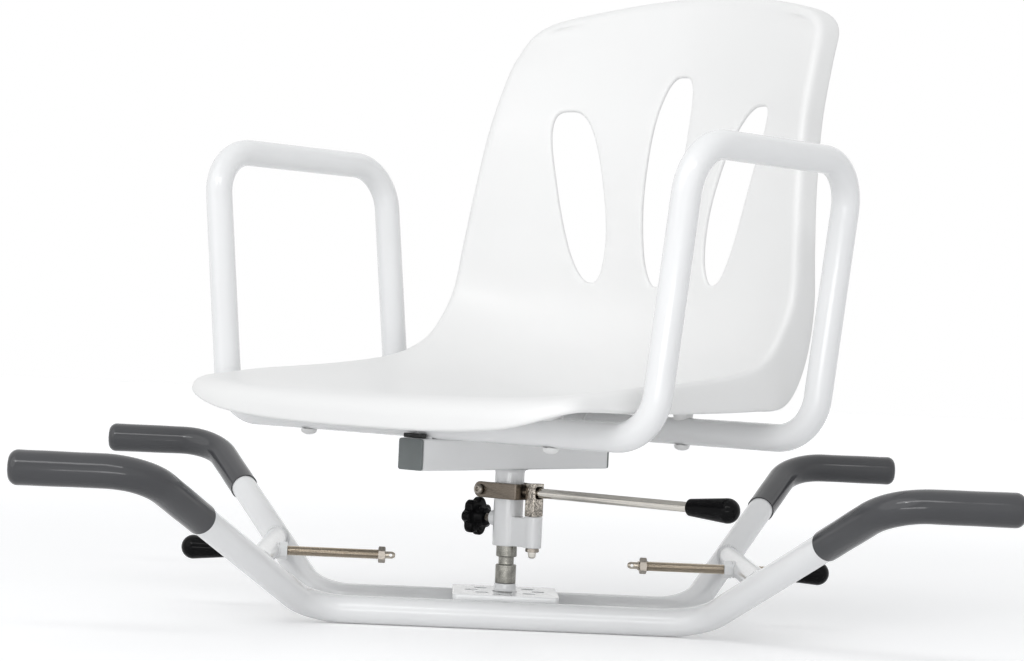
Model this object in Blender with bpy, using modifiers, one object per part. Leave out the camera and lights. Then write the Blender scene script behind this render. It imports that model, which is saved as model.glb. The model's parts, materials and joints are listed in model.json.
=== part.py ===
"""Swivel bath seat: a bent-tube base that stands in a bath, and a moulded seat that turns on its spindle.

Metres, +Z up. The origin is on the swivel axis at floor level, +X runs across the bath, and the seat is
turned away from the bath's length as a person would leave it when getting in. Seat pieces are modelled in
the seat's own frame: +X forwards, +Y to the sitter's left.
"""

import math

import bmesh
import bpy
import numpy as np
from mathutils import Vector

# Clearances
FIT_GAP = 0.0003
RUNNING_GAP = 0.0002
THREAD_GAP = 0.00015

# Base tubes: two bent tubes, alike, one each side of the plate
TUBE_DIAMETER = 0.0222
RUN_HALF_LENGTH = 0.155
RUN_SPACING = 0.099
ARM_TOP_X = 0.2643
ARM_TOP_Y = 0.275
ARM_RISE = 0.1137
BASE_WIDTH = 0.720
BASE_BEND_RADIUS = 0.045

# Dipped grips over the arms' ends
GRIP_DIAMETER = 0.0255
GRIP_EDGE_WALL = 0.0008
GRIP_END_WALL = 0.0060
GRIP_END_ROUND = 0.0070
GRIP_ON_SLOPE = 0.087

# Pivot plate, whose edges lie this far inside the runs' centre lines, and spindle
PLATE_INSET = 0.007
PLATE_THICKNESS = 0.006
PLATE_CORNER_RADIUS = 0.004
INDEX_HOLES = 8
INDEX_HOLE_DIAMETER = 0.0108
COLLAR_DIAMETER = 0.018
COLLAR_HEIGHT = 0.0061
COLLAR_CHAMFER = 0.0008
SPINDLE_DIAMETER = 0.017
SPINDLE_HEIGHT = 0.065
SPIGOT_DIAMETER = 0.012
SPINDLE_CHAMFER = 0.0012
GROOVE_DIAMETER = 0.0126
GROOVE_WIDTH = 0.0061
GROOVE_HEIGHT = 0.0249

# Cross tubes and adjusters
CROSS_TUBE_DIAMETER = 0.019
CROSS_TUBE_X = 0.1935
BOSS_LENGTH = 0.0066
BOSS_ACROSS_FLATS = 0.0125
ROD_DIAMETER = 0.008
ROD_TIP_DIAMETER = 0.0058
ROD_TIP_LENGTH = 0.008
ROD_TIP_HOLE = 0.0026
ROD_HOLE_PLACE = 0.0036
ROD_CHAMFER = 0.0006
LEFT_ROD_START = 0.090
RIGHT_ROD_START = 0.0986
LEFT_NUT_START = 0.0976
RIGHT_NUT_START = 0.1080
NUT_ACROSS_FLATS = 0.013
NUT_THICKNESS = 0.0065
BUFFER_START = 0.217

# Tapered black knob, used on the lever and as the adjusters' buffers
KNOB_LENGTH = 0.046
KNOB_NECK_DIAMETER = 0.0135
KNOB_DIAMETER = 0.0195
KNOB_BORE_DEPTH = 0.028
KNOB_FOOT_LENGTH = 0.006
KNOB_FOOT_SWELL = 0.0004
KNOB_FOOT_ROUND = 0.001

# Seat heading: how far forwards lies from -X towards -Y, in degrees
SEAT_HEADING = 48.0

# Swivel head. The seat is shown raised on its spindle, this far above its lowest place
SEAT_DROP = 0.0334
SLEEVE_DIAMETER = 0.024
SLEEVE_BORE = 0.020
SLEEVE_BOTTOM = 0.0631
BUSH_LENGTH = 0.012
BARREL_OFFSET = 0.027
BARREL_DIAMETER = 0.0146
BARREL_BORE = 0.0100
BARREL_LENGTH = 0.0253
BARREL_TOP_WALL = 0.003
WEB_THICKNESS = 0.0140
WEB_STEP = 0.0013
WEB_FOOT_STEP = 0.0004
HEX_BUSH_HEIGHT = 0.003
HEX_BUSH_ACROSS_FLATS = 0.0097
HEX_BUSH_SPIGOT = 0.004

# Locking plunger
PLUNGER_DIAMETER = 0.007
PLUNGER_TIP_DIAMETER = 0.006
PLUNGER_REACH = 0.005
PLUNGER_COLLAR = 0.002
PLUNGER_LIFT = 0.0065
HEAD_LENGTH = 0.010
HEAD_WIDTH = 0.0126
HEAD_TOP_WALL = 0.0025
HEAD_ENTRY = 0.006
HEAD_EDGE = 0.0012
PLUNGER_TAPER = 0.0004
PLUNGER_TIP_LENGTH = 0.0006
PLUNGER_TIP_STEP = 0.0008
SPRING_WIRE = 0.0008
SPRING_TURNS = 6

# Lever
LEVER_RISE = 0.0193
FORK_DEPTH = 0.0128
FORK_THICKNESS = 0.0025
FORK_CLEARANCE = 0.00075
FORK_WEB_START = 0.017
PIVOT_OFFSET = 0.0185
PIVOT_BOLT_DIAMETER = 0.006
PIVOT_HEAD_DIAMETER = 0.0085
PIVOT_HEAD_HEIGHT = 0.0035
PIVOT_HEAD_CHAMFER = 0.0006
PIVOT_HOLLOW_DIAMETER = 0.0034
PIVOT_HOLLOW_DEPTH = 0.002
PIVOT_BOLT_PROUD = 0.001
PIVOT_NUT_THICKNESS = 0.005
PIVOT_NUT_ACROSS_FLATS = 0.010
LUG_RADIUS = 0.0055
LEVER_KNOB_START = 0.182
FORK_CORNER = 0.003
FORK_CORNER_STEP = 0.0009

# Clamp screw
STUD_DIAMETER = 0.006
STUD_POINT_DIAMETER = 0.004
STUD_POINT_LENGTH = 0.005
STUD_POINT_STEP = 0.0008
STUD_IN_STAR = 0.0051
CLAMP_BOSS_DIAMETER = 0.0125
CLAMP_BOSS_END = 0.0165
STAR_DIAMETER = 0.0318
STAR_LOBES = 7
STAR_LOBE_HEIGHT = 0.0017
STAR_EDGE = 0.001
STAR_THICKNESS = 0.0085
STAR_HUB_DIAMETER = 0.015
STAR_HUB_START = 0.0225
STAR_HUB_LENGTH = 0.0072

# Beam
BEAM_WIDTH = 0.025
BEAM_WALL = 0.002
BEAM_CORNER_RADIUS = 0.002
BEAM_RISE = 0.0174
BEAM_FRONT = 0.118
BEAM_REAR = 0.110
CAP_THICKNESS = 0.0025
CAP_PLUG_LENGTH = 0.010
PAD_LENGTH = 0.0048
PAD_HEIGHT = 0.0034
PAD_EDGE = 0.0004

# Armrest loops
LOOP_FRONT_TOP = 0.106
LOOP_REAR_TOP = -0.100
LOOP_FRONT_BOTTOM = 0.104
LOOP_REAR_BOTTOM = -0.102
LOOP_TOP_SPREAD = 0.250
LOOP_BOTTOM_SPREAD = 0.223
LOOP_HEIGHT = 0.2176
LOOP_BEND_RADIUS = 0.038

# Seat shell: (forwards, height above the beam) of its upper face at matching stations, from the front to
# the top of the back
SHELL_THICKNESS = 0.0045
SHELL_CENTRE_LINE = [
    (0.160, 0.0350), (0.100, 0.0315), (0.020, 0.0290), (-0.060, 0.0304), (-0.112, 0.0375), (-0.156, 0.0660),
    (-0.177, 0.108), (-0.180, 0.160), (-0.184, 0.214), (-0.193, 0.267), (-0.208, 0.317), (-0.226, 0.379),
]
SHELL_RIM_LINE = [
    (0.1555, 0.0418), (0.100, 0.0485), (0.020, 0.0550), (-0.045, 0.0630), (-0.080, 0.0740), (-0.101, 0.0900),
    (-0.121, 0.122), (-0.1285, 0.165), (-0.135, 0.212), (-0.146, 0.270), (-0.164, 0.320), (-0.176, 0.341),
]
SHELL_EDGE_LINE = [
    (0.1555, 0.0310), (0.100, 0.0300), (0.020, 0.0300), (-0.060, 0.0324), (-0.107, 0.0370), (-0.135, 0.0660),
    (-0.149, 0.112), (-0.152, 0.162), (-0.158, 0.212), (-0.170, 0.270), (-0.188, 0.320), (-0.200, 0.341),
]
SHELL_HALF_WIDTHS = [0.198, 0.1965, 0.194, 0.192, 0.189, 0.186, 0.184, 0.1805, 0.1755, 0.170, 0.1655, 0.1615]
SHELL_FLARE = 0.005
SHELL_RIM_ROUND = 0.009
SHELL_FRONT_ROUND = 0.0154
LIP_FRONT = 0.186
LIP_BOTTOM = 0.0087
LIP_CORNER_RISE = 0.0147
CREASE_RISE = 0.005
FRONT_CORNER_RADIUS = 0.046
BACK_TOP_CAMBER = 1.05
BACK_TOP_ROLL = 0.027
TOP_CORNER_RADIUS = 0.028
ROWS_PER_STATION = 2
CORNER_ROWS = 3
COLUMNS = 7
BEND_STEPS = 3
WALL_STEPS = 1

# Openings in the back: (sideways, height above the beam) of the foot and the top, and the half-width. Each
# is a pair of half ovals that meet at its widest place, the lower one pointed and the upper one blunt
SIDE_SLOT = ((0.066, 0.133), (0.1025, 0.285), 0.0215)
MIDDLE_SLOT = ((0.0, 0.131), (0.0, 0.315), 0.0195)
SLOT_BOW = 0.004
SLOT_WIDEST = 0.55
SLOT_FOOT_POWER = 2.2
SLOT_TOP_POWER = 3.0

# Spacers and screws between the shell and the loops' runs
FRONT_SCREW_SPREAD = 0.128
REAR_SCREW_SPREAD = 0.096
SCREW_DIAMETER = 0.006
SCREW_HEAD_DIAMETER = 0.013
SCREW_HEAD_HEIGHT = 0.0045
SCREW_END_WALL = 0.0015
SPACER_TOP_DIAMETER = 0.020
SPACER_BOTTOM_DIAMETER = 0.015
SPACER_WRAP = 0.003

# Derived heights
RUN_HEIGHT = TUBE_DIAMETER / 2
RUN_Y = RUN_SPACING / 2
PLATE_WIDTH = RUN_SPACING - 2 * PLATE_INSET
PLATE_BOTTOM = RUN_HEIGHT + math.sqrt((TUBE_DIAMETER / 2 + FIT_GAP) ** 2 - PLATE_INSET**2)
PLATE_TOP = PLATE_BOTTOM + PLATE_THICKNESS
COLLAR_TOP = PLATE_TOP + FIT_GAP + COLLAR_HEIGHT
SPINDLE_TOP = PLATE_TOP + SPINDLE_HEIGHT
GROOVE_CENTRE = PLATE_TOP + GROOVE_HEIGHT
CLAMP_HEIGHT = GROOVE_CENTRE + SEAT_DROP
BARREL_TOP = SLEEVE_BOTTOM + BARREL_LENGTH
WEB_TOP = BARREL_TOP - WEB_STEP
LEVER_HEIGHT = BARREL_TOP + LEVER_RISE
BEAM_BOTTOM = LEVER_HEIGHT + BEAM_RISE
BEAM_TOP = BEAM_BOTTOM + BEAM_WIDTH
LOOP_BOTTOM_HEIGHT = BEAM_TOP + FIT_GAP + TUBE_DIAMETER / 2
LOOP_TOP_HEIGHT = LOOP_BOTTOM_HEIGHT + LOOP_HEIGHT
KNOB_BORE = ROD_DIAMETER + 2 * THREAD_GAP
HEX_BUSH_BOTTOM = SLEEVE_BOTTOM - FIT_GAP - HEX_BUSH_HEIGHT
LEVER_ARM = BARREL_OFFSET + PIVOT_OFFSET
LEVER_SWING = PLUNGER_LIFT / LEVER_ARM

# Tools that cut right through run this far past
CUTTER_LENGTH = 0.2

ROUND_STEPS = 20
SMALL_STEPS = 16
TUBE_SIDES = 12

parts = None
cutters = None
materials = {}


# Scene and materials


def clear_scene():
    for obj in list(bpy.data.objects):
        bpy.data.objects.remove(obj, do_unlink=True)


def new_collection(name):
    collection = bpy.data.collections.new(name)
    bpy.context.scene.collection.children.link(collection)
    return collection


def add_material(name, colour, roughness, metallic=0.0):
    material = bpy.data.materials.new(name)
    material.use_nodes = True
    shader = material.node_tree.nodes["Principled BSDF"]
    shader.inputs["Base Color"].default_value = (*colour, 1.0)
    shader.inputs["Roughness"].default_value = roughness
    shader.inputs["Metallic"].default_value = metallic
    materials[name] = material


def add_materials():
    add_material("white_paint", (0.88, 0.88, 0.87), 0.25)
    add_material("white_plastic", (0.90, 0.90, 0.89), 0.35)
    add_material("grip_plastic", (0.09, 0.09, 0.095), 0.22)
    add_material("black_plastic", (0.012, 0.012, 0.013), 0.25)
    add_material("black_rubber", (0.02, 0.02, 0.02), 0.7)
    add_material("grey_plastic", (0.19, 0.20, 0.20), 0.45)
    add_material("steel", (0.48, 0.44, 0.40), 0.32, 1.0)
    add_material("nylon", (0.80, 0.79, 0.74), 0.45)


# Building blocks


def add_object(name, data, material, parent, location=(0, 0, 0), rotation=(0, 0, 0)):
    obj = bpy.data.objects.new(name, data)
    obj.parent = parent
    obj.location = location
    obj.rotation_euler = [math.radians(angle) for angle in rotation]
    if material is None:
        cutters.objects.link(obj)
        obj.hide_render = True
        obj.display_type = "WIRE"
    else:
        parts.objects.link(obj)
        data.materials.append(materials[material])
    return obj


def add_empty(name, parent=None, location=(0, 0, 0), rotation=(0, 0, 0)):
    obj = bpy.data.objects.new(name, None)
    obj.parent = parent
    obj.location = location
    obj.rotation_euler = [math.radians(angle) for angle in rotation]
    parts.objects.link(obj)
    return obj


def smooth(mesh, sharp_above=35):
    mesh.shade_smooth()
    mesh.set_sharp_from_angle(angle=math.radians(sharp_above))


def turned(
    name, profile, material, parent, location=(0, 0, 0), rotation=(0, 0, 0), steps=ROUND_STEPS, closed=False
):
    """A profile of (radius, height) pairs, top to bottom down its outer side, turned about local Z."""
    mesh = bpy.data.meshes.new(name)
    shape = bmesh.new()
    corners = [shape.verts.new((radius, 0, height)) for radius, height in profile]
    for first, second in zip(corners[:-1], corners[1:]):
        shape.edges.new((first, second))
    if closed:
        shape.edges.new((corners[-1], corners[0]))
    shape.to_mesh(mesh)
    shape.free()
    obj = add_object(name, mesh, material, parent, location, rotation)
    screw = obj.modifiers.new("turn", "SCREW")
    screw.steps = steps
    screw.render_steps = steps
    screw.use_merge_vertices = True
    screw.merge_threshold = 0.00001
    screw.use_smooth_shade = True
    return obj


def cylinder(
    name, radius, length, material, parent, location=(0, 0, 0), rotation=(0, 0, 0), sides=ROUND_STEPS
):
    """A cylinder centred on its location, along local Z."""
    mesh = bpy.data.meshes.new(name)
    shape = bmesh.new()
    bmesh.ops.create_cone(shape, cap_ends=True, segments=sides, radius1=radius, radius2=radius, depth=length)
    shape.to_mesh(mesh)
    shape.free()
    smooth(mesh)
    return add_object(name, mesh, material, parent, location, rotation)


def box(name, size, material, parent, location=(0, 0, 0), rotation=(0, 0, 0), bevel=0.0):
    mesh = bpy.data.meshes.new(name)
    shape = bmesh.new()
    bmesh.ops.create_cube(shape, size=1.0)
    bmesh.ops.scale(shape, vec=size, verts=shape.verts)
    shape.to_mesh(mesh)
    shape.free()
    obj = add_object(name, mesh, material, parent, location, rotation)
    if bevel:
        edge = obj.modifiers.new("edges", "BEVEL")
        edge.width = bevel
        edge.segments = 2
    return obj


def meshed(curve_object):
    """The same object as a mesh, so that it can be cut: its caps are welded to its sides."""
    graph = bpy.context.evaluated_depsgraph_get()
    mesh = bpy.data.meshes.new_from_object(curve_object.evaluated_get(graph))
    shape = bmesh.new()
    shape.from_mesh(mesh)
    bmesh.ops.remove_doubles(shape, verts=shape.verts, dist=0.00001)
    bmesh.ops.recalc_face_normals(shape, faces=shape.faces)
    shape.to_mesh(mesh)
    shape.free()
    smooth(mesh)
    name = curve_object.name
    curve = curve_object.data
    bpy.data.objects.remove(curve_object)
    bpy.data.curves.remove(curve)
    mesh.name = name
    return mesh


def prism(name, outlines, thickness, material, parent, location=(0, 0, 0), rotation=(0, 0, 0)):
    """Flat outlines in local XY, the inner ones as holes, extruded along local Z about the location."""
    curve = bpy.data.curves.new(name, "CURVE")
    curve.dimensions = "2D"
    curve.fill_mode = "BOTH"
    curve.extrude = thickness / 2
    for outline in outlines:
        spline = curve.splines.new("POLY")
        spline.points.add(len(outline) - 1)
        for point, (x, y) in zip(spline.points, outline):
            point.co = (x, y, 0, 1)
        spline.use_cyclic_u = True
    drawing = bpy.data.objects.new(name, curve)
    cutters.objects.link(drawing)
    return add_object(name, meshed(drawing), material, parent, location, rotation)


def tube(name, path, radius, material, parent, swell=None, sides=TUBE_SIDES):
    """A round bar along a path; swell gives each point's share of the radius."""
    curve = bpy.data.curves.new(name, "CURVE")
    curve.dimensions = "3D"
    curve.bevel_depth = radius
    curve.bevel_resolution = (sides - 4) // 2
    curve.use_fill_caps = True
    spline = curve.splines.new("POLY")
    spline.points.add(len(path) - 1)
    for index, (point, place) in enumerate(zip(spline.points, path)):
        point.co = (*place, 1)
        point.radius = swell[index] if swell else 1.0
    drawing = bpy.data.objects.new(name, curve)
    cutters.objects.link(drawing)
    return add_object(name, meshed(drawing), material, parent)


def apply_boolean(target, other, operation="DIFFERENCE"):
    modifier = target.modifiers.new(other.name, "BOOLEAN")
    modifier.operation = operation
    modifier.object = other


def circle(radius, sides=ROUND_STEPS, centre=(0, 0)):
    angles = [2 * math.pi * index / sides for index in range(sides)]
    return [(centre[0] + radius * math.cos(a), centre[1] + radius * math.sin(a)) for a in angles]


def hexagon(across_flats):
    return circle(across_flats / math.sqrt(3), 6)


def rounded_rectangle(width, height, radius, steps=3):
    points = []
    for turn, (side_x, side_y) in enumerate(((1, 1), (-1, 1), (-1, -1), (1, -1))):
        centre_x = side_x * (width / 2 - radius)
        centre_y = side_y * (height / 2 - radius)
        for step in range(steps + 1):
            angle = math.radians(90 * turn + 90 * step / steps)
            points.append((centre_x + radius * math.cos(angle), centre_y + radius * math.sin(angle)))
    return points


def bent_path(corners, radius, steps=5):
    """The corners' path with each inner corner replaced by an arc."""
    corners = [Vector(corner) for corner in corners]
    path = [corners[0]]
    for before, corner, after in zip(corners[:-2], corners[1:-1], corners[2:]):
        towards = (before - corner).normalized()
        away = (after - corner).normalized()
        half_angle = towards.angle(away) / 2
        centre = corner + (towards + away).normalized() * radius / math.sin(half_angle)
        start = corner + towards * radius / math.tan(half_angle) - centre
        end = corner + away * radius / math.tan(half_angle) - centre
        turn = start.angle(end)
        for step in range(steps + 1):
            share = step / steps
            arm = start * math.sin((1 - share) * turn) + end * math.sin(share * turn)
            path.append(centre + arm / math.sin(turn))
    path.append(corners[-1])
    return path


# Base frame


def base_corner_points(side_x, side_y):
    """Where the centre line would turn, from the middle of the run out to the grip's end."""
    bottom = Vector((side_x * RUN_HALF_LENGTH, side_y * RUN_Y, RUN_HEIGHT))
    top = Vector((side_x * ARM_TOP_X, side_y * ARM_TOP_Y, RUN_HEIGHT + ARM_RISE))
    return bottom, top


def make_base_tube(name, side_y, parent):
    left_bottom, left_top = base_corner_points(-1, side_y)
    right_bottom, right_top = base_corner_points(1, side_y)
    end = BASE_WIDTH / 2 - GRIP_END_WALL - FIT_GAP
    left_end = Vector((-end, left_top.y, left_top.z))
    right_end = Vector((end, right_top.y, right_top.z))
    corners = [left_end, left_top, left_bottom, right_bottom, right_top, right_end]
    return tube(name, bent_path(corners, BASE_BEND_RADIUS), TUBE_DIAMETER / 2, "white_paint", parent)


def make_grip(name, side_x, side_y, parent):
    """A dipped cover: thin where the dip ends on the slope, thicker on the hand grip, with a round end."""
    bottom, top = base_corner_points(side_x, side_y)
    outwards = Vector((side_x, 0, 0))
    downhill = (bottom - top).normalized()
    end = Vector((side_x * BASE_WIDTH / 2, top.y, top.z))
    dip_edge = top + downhill * GRIP_ON_SLOPE
    full = GRIP_DIAMETER / 2
    edge = TUBE_DIAMETER / 2 + FIT_GAP + GRIP_EDGE_WALL
    dome = []
    for share in (1.0, 0.8, 0.45, 0.0):
        inset = GRIP_END_ROUND * (1 - math.sqrt(1 - share**2))
        dome.append((GRIP_END_ROUND * (1 - share), full - inset))
    path = [end - outwards * depth for depth, _ in dome]
    radii = [radius for _, radius in dome]
    body = bent_path([path[-1], top, dip_edge], BASE_BEND_RADIUS)[1:]
    path += body
    radii += [full + (edge - full) * index / (len(body) - 1) for index in range(len(body))]
    skin = tube(name, path, full, "grip_plastic", parent, [radius / full for radius in radii])
    inner_end = end - outwards * GRIP_END_WALL
    past_edge = dip_edge + downhill * 0.004
    hollow_path = bent_path([inner_end, top, past_edge], BASE_BEND_RADIUS)
    hollow = tube(name + "_hollow", hollow_path, TUBE_DIAMETER / 2 + FIT_GAP, None, parent)
    apply_boolean(skin, hollow)
    return skin


def make_pivot_plate(parent):
    outline = rounded_rectangle(PLATE_WIDTH, PLATE_WIDTH, PLATE_CORNER_RADIUS)
    holes = [circle(SPIGOT_DIAMETER / 2 + FIT_GAP, SMALL_STEPS)]
    for index in range(INDEX_HOLES):
        angle = 2 * math.pi * index / INDEX_HOLES
        centre = (BARREL_OFFSET * math.cos(angle), BARREL_OFFSET * math.sin(angle))
        holes.append(circle(INDEX_HOLE_DIAMETER / 2, 12, centre))
    middle = (0, 0, (PLATE_BOTTOM + PLATE_TOP) / 2)
    return prism("pivot_plate", [outline] + holes, PLATE_THICKNESS, "white_paint", parent, middle)


def make_spindle_collar(parent):
    outer = COLLAR_DIAMETER / 2
    inner = SPIGOT_DIAMETER / 2 + FIT_GAP
    bottom = PLATE_TOP + FIT_GAP
    chamfer = COLLAR_CHAMFER
    profile = [
        (inner, COLLAR_TOP),
        (outer - chamfer, COLLAR_TOP),
        (outer, COLLAR_TOP - chamfer),
        (outer, bottom),
        (inner, bottom),
    ]
    return turned("spindle_collar", profile, "white_paint", parent, closed=True)


def make_spindle(parent):
    full = SPINDLE_DIAMETER / 2
    groove = GROOVE_DIAMETER / 2
    spigot = SPIGOT_DIAMETER / 2
    chamfer = SPINDLE_CHAMFER
    half = GROOVE_WIDTH / 2
    shoulder = COLLAR_TOP + FIT_GAP
    profile = [
        (0, SPINDLE_TOP),
        (full - chamfer, SPINDLE_TOP),
        (full, SPINDLE_TOP - chamfer),
        (full, GROOVE_CENTRE + half + chamfer / 2),
        (full - chamfer / 2, GROOVE_CENTRE + half),
        (groove, GROOVE_CENTRE + half),
        (groove, GROOVE_CENTRE - half),
        (full - chamfer / 2, GROOVE_CENTRE - half),
        (full, GROOVE_CENTRE - half - chamfer / 2),
        (full, shoulder),
        (spigot, shoulder),
        (spigot, PLATE_BOTTOM),
        (0, PLATE_BOTTOM),
    ]
    return turned("spindle", profile, "steel", parent)


def cross_tube_height():
    bottom, top = base_corner_points(1, 1)
    share = (CROSS_TUBE_X - bottom.x) / (top.x - bottom.x)
    return bottom.z + share * (top.z - bottom.z), bottom.y + share * (top.y - bottom.y)


def make_cross_tube(name, side_x, parent):
    """A tube between the two slopes, its ends coped to fit them and drilled for the adjuster."""
    height, reach = cross_tube_height()
    place = (side_x * CROSS_TUBE_X, 0, height)
    radius = CROSS_TUBE_DIAMETER / 2
    bar = cylinder(name, radius, 2 * reach, "white_paint", parent, place, (90, 0, 0), SMALL_STEPS)
    for side_y in (-1, 1):
        bottom, top = base_corner_points(side_x, side_y)
        label = f"{name}_cope_{'rear' if side_y > 0 else 'front'}"
        cope = tube(label, [bottom, top], TUBE_DIAMETER / 2 + FIT_GAP, None, parent, sides=32)
        apply_boolean(bar, cope)
    drill_radius = ROD_DIAMETER / 2 + FIT_GAP
    drill_length = 2 * CROSS_TUBE_DIAMETER
    drill = cylinder(
        name + "_drill", drill_radius, drill_length, None, parent, place, (0, 90, 0), SMALL_STEPS
    )
    apply_boolean(bar, drill)
    return bar


def make_boss(name, side_x, parent):
    height, _ = cross_tube_height()
    outer_face = CROSS_TUBE_X - CROSS_TUBE_DIAMETER / 2 - FIT_GAP
    middle = (side_x * (outer_face - BOSS_LENGTH / 2), 0, height)
    outlines = [hexagon(BOSS_ACROSS_FLATS), circle(ROD_DIAMETER / 2 + FIT_GAP, SMALL_STEPS)]
    return prism(name, outlines, BOSS_LENGTH, "steel", parent, middle, (0, 90 * side_x, 0))


# Adjusters, in a frame whose +Z points outwards along the rod


def make_adjuster(label, rod_start, nut_start, parent):
    tip = ROD_TIP_DIAMETER / 2
    full = ROD_DIAMETER / 2
    chamfer = ROD_CHAMFER
    rod_end = BUFFER_START + KNOB_BORE_DEPTH - FIT_GAP
    shoulder = rod_start + ROD_TIP_LENGTH
    profile = [
        (0, rod_end),
        (full - chamfer, rod_end),
        (full, rod_end - chamfer),
        (full, shoulder + chamfer),
        (full - chamfer, shoulder),
        (tip, shoulder),
        (tip, rod_start + chamfer),
        (tip - chamfer, rod_start),
        (0, rod_start),
    ]
    rod = turned(f"{label}_adjuster_rod", profile, "steel", parent, steps=SMALL_STEPS)
    hole_place = (0, 0, rod_start + ROD_HOLE_PLACE)
    drill_radius = ROD_TIP_HOLE / 2
    drill_length = 2 * ROD_DIAMETER
    drill = cylinder(
        f"{label}_tip_drill", drill_radius, drill_length, None, parent, hole_place, (90, 0, 0), 12
    )
    apply_boolean(rod, drill)
    outlines = [hexagon(NUT_ACROSS_FLATS), circle(full + THREAD_GAP, SMALL_STEPS)]
    nut_middle = (0, 0, nut_start + NUT_THICKNESS / 2)
    prism(f"{label}_adjuster_nut", outlines, NUT_THICKNESS, "steel", parent, nut_middle)
    make_tapered_knob(f"{label}_adjuster_buffer", parent, (0, 0, BUFFER_START), (0, 0, 0))


def make_tapered_knob(name, parent, location, rotation):
    """Neck at the location, widening along local Z to a domed end, with a blind bore for its rod."""
    wide = KNOB_DIAMETER / 2
    neck = KNOB_NECK_DIAMETER / 2
    dome_steps = 4
    profile = []
    dome_start = KNOB_LENGTH - wide
    for step in range(dome_steps + 1):
        angle = math.radians(90 - 90 * step / dome_steps)
        profile.append((wide * math.cos(angle), dome_start + wide * math.sin(angle)))
    profile[0] = (0, KNOB_LENGTH)
    profile += [
        (neck + KNOB_FOOT_SWELL, KNOB_FOOT_LENGTH),
        (neck, KNOB_FOOT_ROUND),
        (neck - KNOB_FOOT_ROUND, 0),
        (KNOB_BORE / 2, 0),
        (KNOB_BORE / 2, KNOB_BORE_DEPTH),
        (0, KNOB_BORE_DEPTH),
    ]
    return turned(name, profile, "black_plastic", parent, location, rotation, steps=SMALL_STEPS)


# Swivel head, in the seat's frame


def make_sleeve_bush(parent):
    outer = SLEEVE_BORE / 2 - RUNNING_GAP
    inner = SPINDLE_DIAMETER / 2 + RUNNING_GAP
    bottom = COLLAR_TOP + SEAT_DROP + FIT_GAP
    top = bottom + BUSH_LENGTH
    profile = [(inner, top), (outer, top), (outer, bottom), (inner, bottom)]
    return turned("sleeve_bush", profile, "nylon", parent, closed=True)


def make_sleeve(parent):
    """Sleeve, side barrel, web and clamp boss as one welded piece, bored out."""
    top = BEAM_BOTTOM - FIT_GAP
    outer = SLEEVE_DIAMETER / 2
    sleeve = cylinder(
        "swivel_sleeve", outer, top - SLEEVE_BOTTOM, "white_paint", parent, (0, 0, (top + SLEEVE_BOTTOM) / 2)
    )
    barrel_height = BARREL_TOP - SLEEVE_BOTTOM
    barrel_place = (0, BARREL_OFFSET, SLEEVE_BOTTOM + barrel_height / 2)
    barrel = cylinder("barrel_body", BARREL_DIAMETER / 2, barrel_height, None, parent, barrel_place)
    web_bottom = SLEEVE_BOTTOM + WEB_FOOT_STEP
    web_size = (WEB_THICKNESS, BARREL_OFFSET, WEB_TOP - web_bottom)
    web = box("barrel_web", web_size, None, parent, (0, BARREL_OFFSET / 2, (WEB_TOP + web_bottom) / 2))
    boss_middle = (0, -CLAMP_BOSS_END / 2, CLAMP_HEIGHT)
    boss_radius = CLAMP_BOSS_DIAMETER / 2
    facing = (90, 0, 0)
    boss = cylinder(
        "clamp_boss", boss_radius, CLAMP_BOSS_END, None, parent, boss_middle, facing, SMALL_STEPS
    )
    for piece in (web, barrel, boss):
        apply_boolean(sleeve, piece, "UNION")
    bore = cylinder("sleeve_bore", SLEEVE_BORE / 2, CUTTER_LENGTH, None, parent, (0, 0, SLEEVE_BOTTOM))
    chamber_top = BARREL_TOP - BARREL_TOP_WALL
    chamber_length = chamber_top - SLEEVE_BOTTOM + BARREL_TOP_WALL
    chamber_middle = (0, BARREL_OFFSET, chamber_top - chamber_length / 2)
    bore_radius = BARREL_BORE / 2
    chamber = cylinder("spring_chamber", bore_radius, chamber_length, None, parent, chamber_middle)
    pin_radius = PLUNGER_DIAMETER / 2 + FIT_GAP
    pin_place = (0, BARREL_OFFSET, BARREL_TOP)
    pin_hole = cylinder("pin_hole", pin_radius, BARREL_DIAMETER, None, parent, pin_place, sides=SMALL_STEPS)
    stud_radius = STUD_DIAMETER / 2 + THREAD_GAP
    stud_middle = (0, -CLAMP_BOSS_END, CLAMP_HEIGHT)
    hole_length = 2 * CLAMP_BOSS_END - SLEEVE_BORE / 2
    stud_hole = cylinder(
        "stud_hole", stud_radius, hole_length, None, parent, stud_middle, facing, SMALL_STEPS
    )
    for piece in (bore, chamber, pin_hole, stud_hole):
        apply_boolean(sleeve, piece)
    return sleeve


def make_pivot_lug(parent):
    """A short lug welded to the sleeve's side, bored for the lever's pivot bolt."""
    arc = [math.radians(90 + 180 * index / 10) for index in range(11)]
    outline = []
    for angle in arc:
        height = LEVER_HEIGHT + LUG_RADIUS * math.sin(angle)
        outline.append((-PIVOT_OFFSET + LUG_RADIUS * math.cos(angle), height))
    outline += [(0, LEVER_HEIGHT - LUG_RADIUS), (0, LEVER_HEIGHT + LUG_RADIUS)]
    hole = circle(PIVOT_BOLT_DIAMETER / 2 + THREAD_GAP, SMALL_STEPS, (-PIVOT_OFFSET, LEVER_HEIGHT))
    width = SLEEVE_DIAMETER + 2 * FORK_CLEARANCE - 2 * FIT_GAP
    lug = prism("lever_pivot_lug", [outline, hole], width, "white_paint", parent, (0, 0, 0), (90, 0, 90))
    clear_radius = SLEEVE_DIAMETER / 2 + FIT_GAP
    clear = cylinder("lug_cope", clear_radius, CUTTER_LENGTH, None, parent, (0, 0, LEVER_HEIGHT))
    apply_boolean(lug, clear)
    return lug


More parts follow.
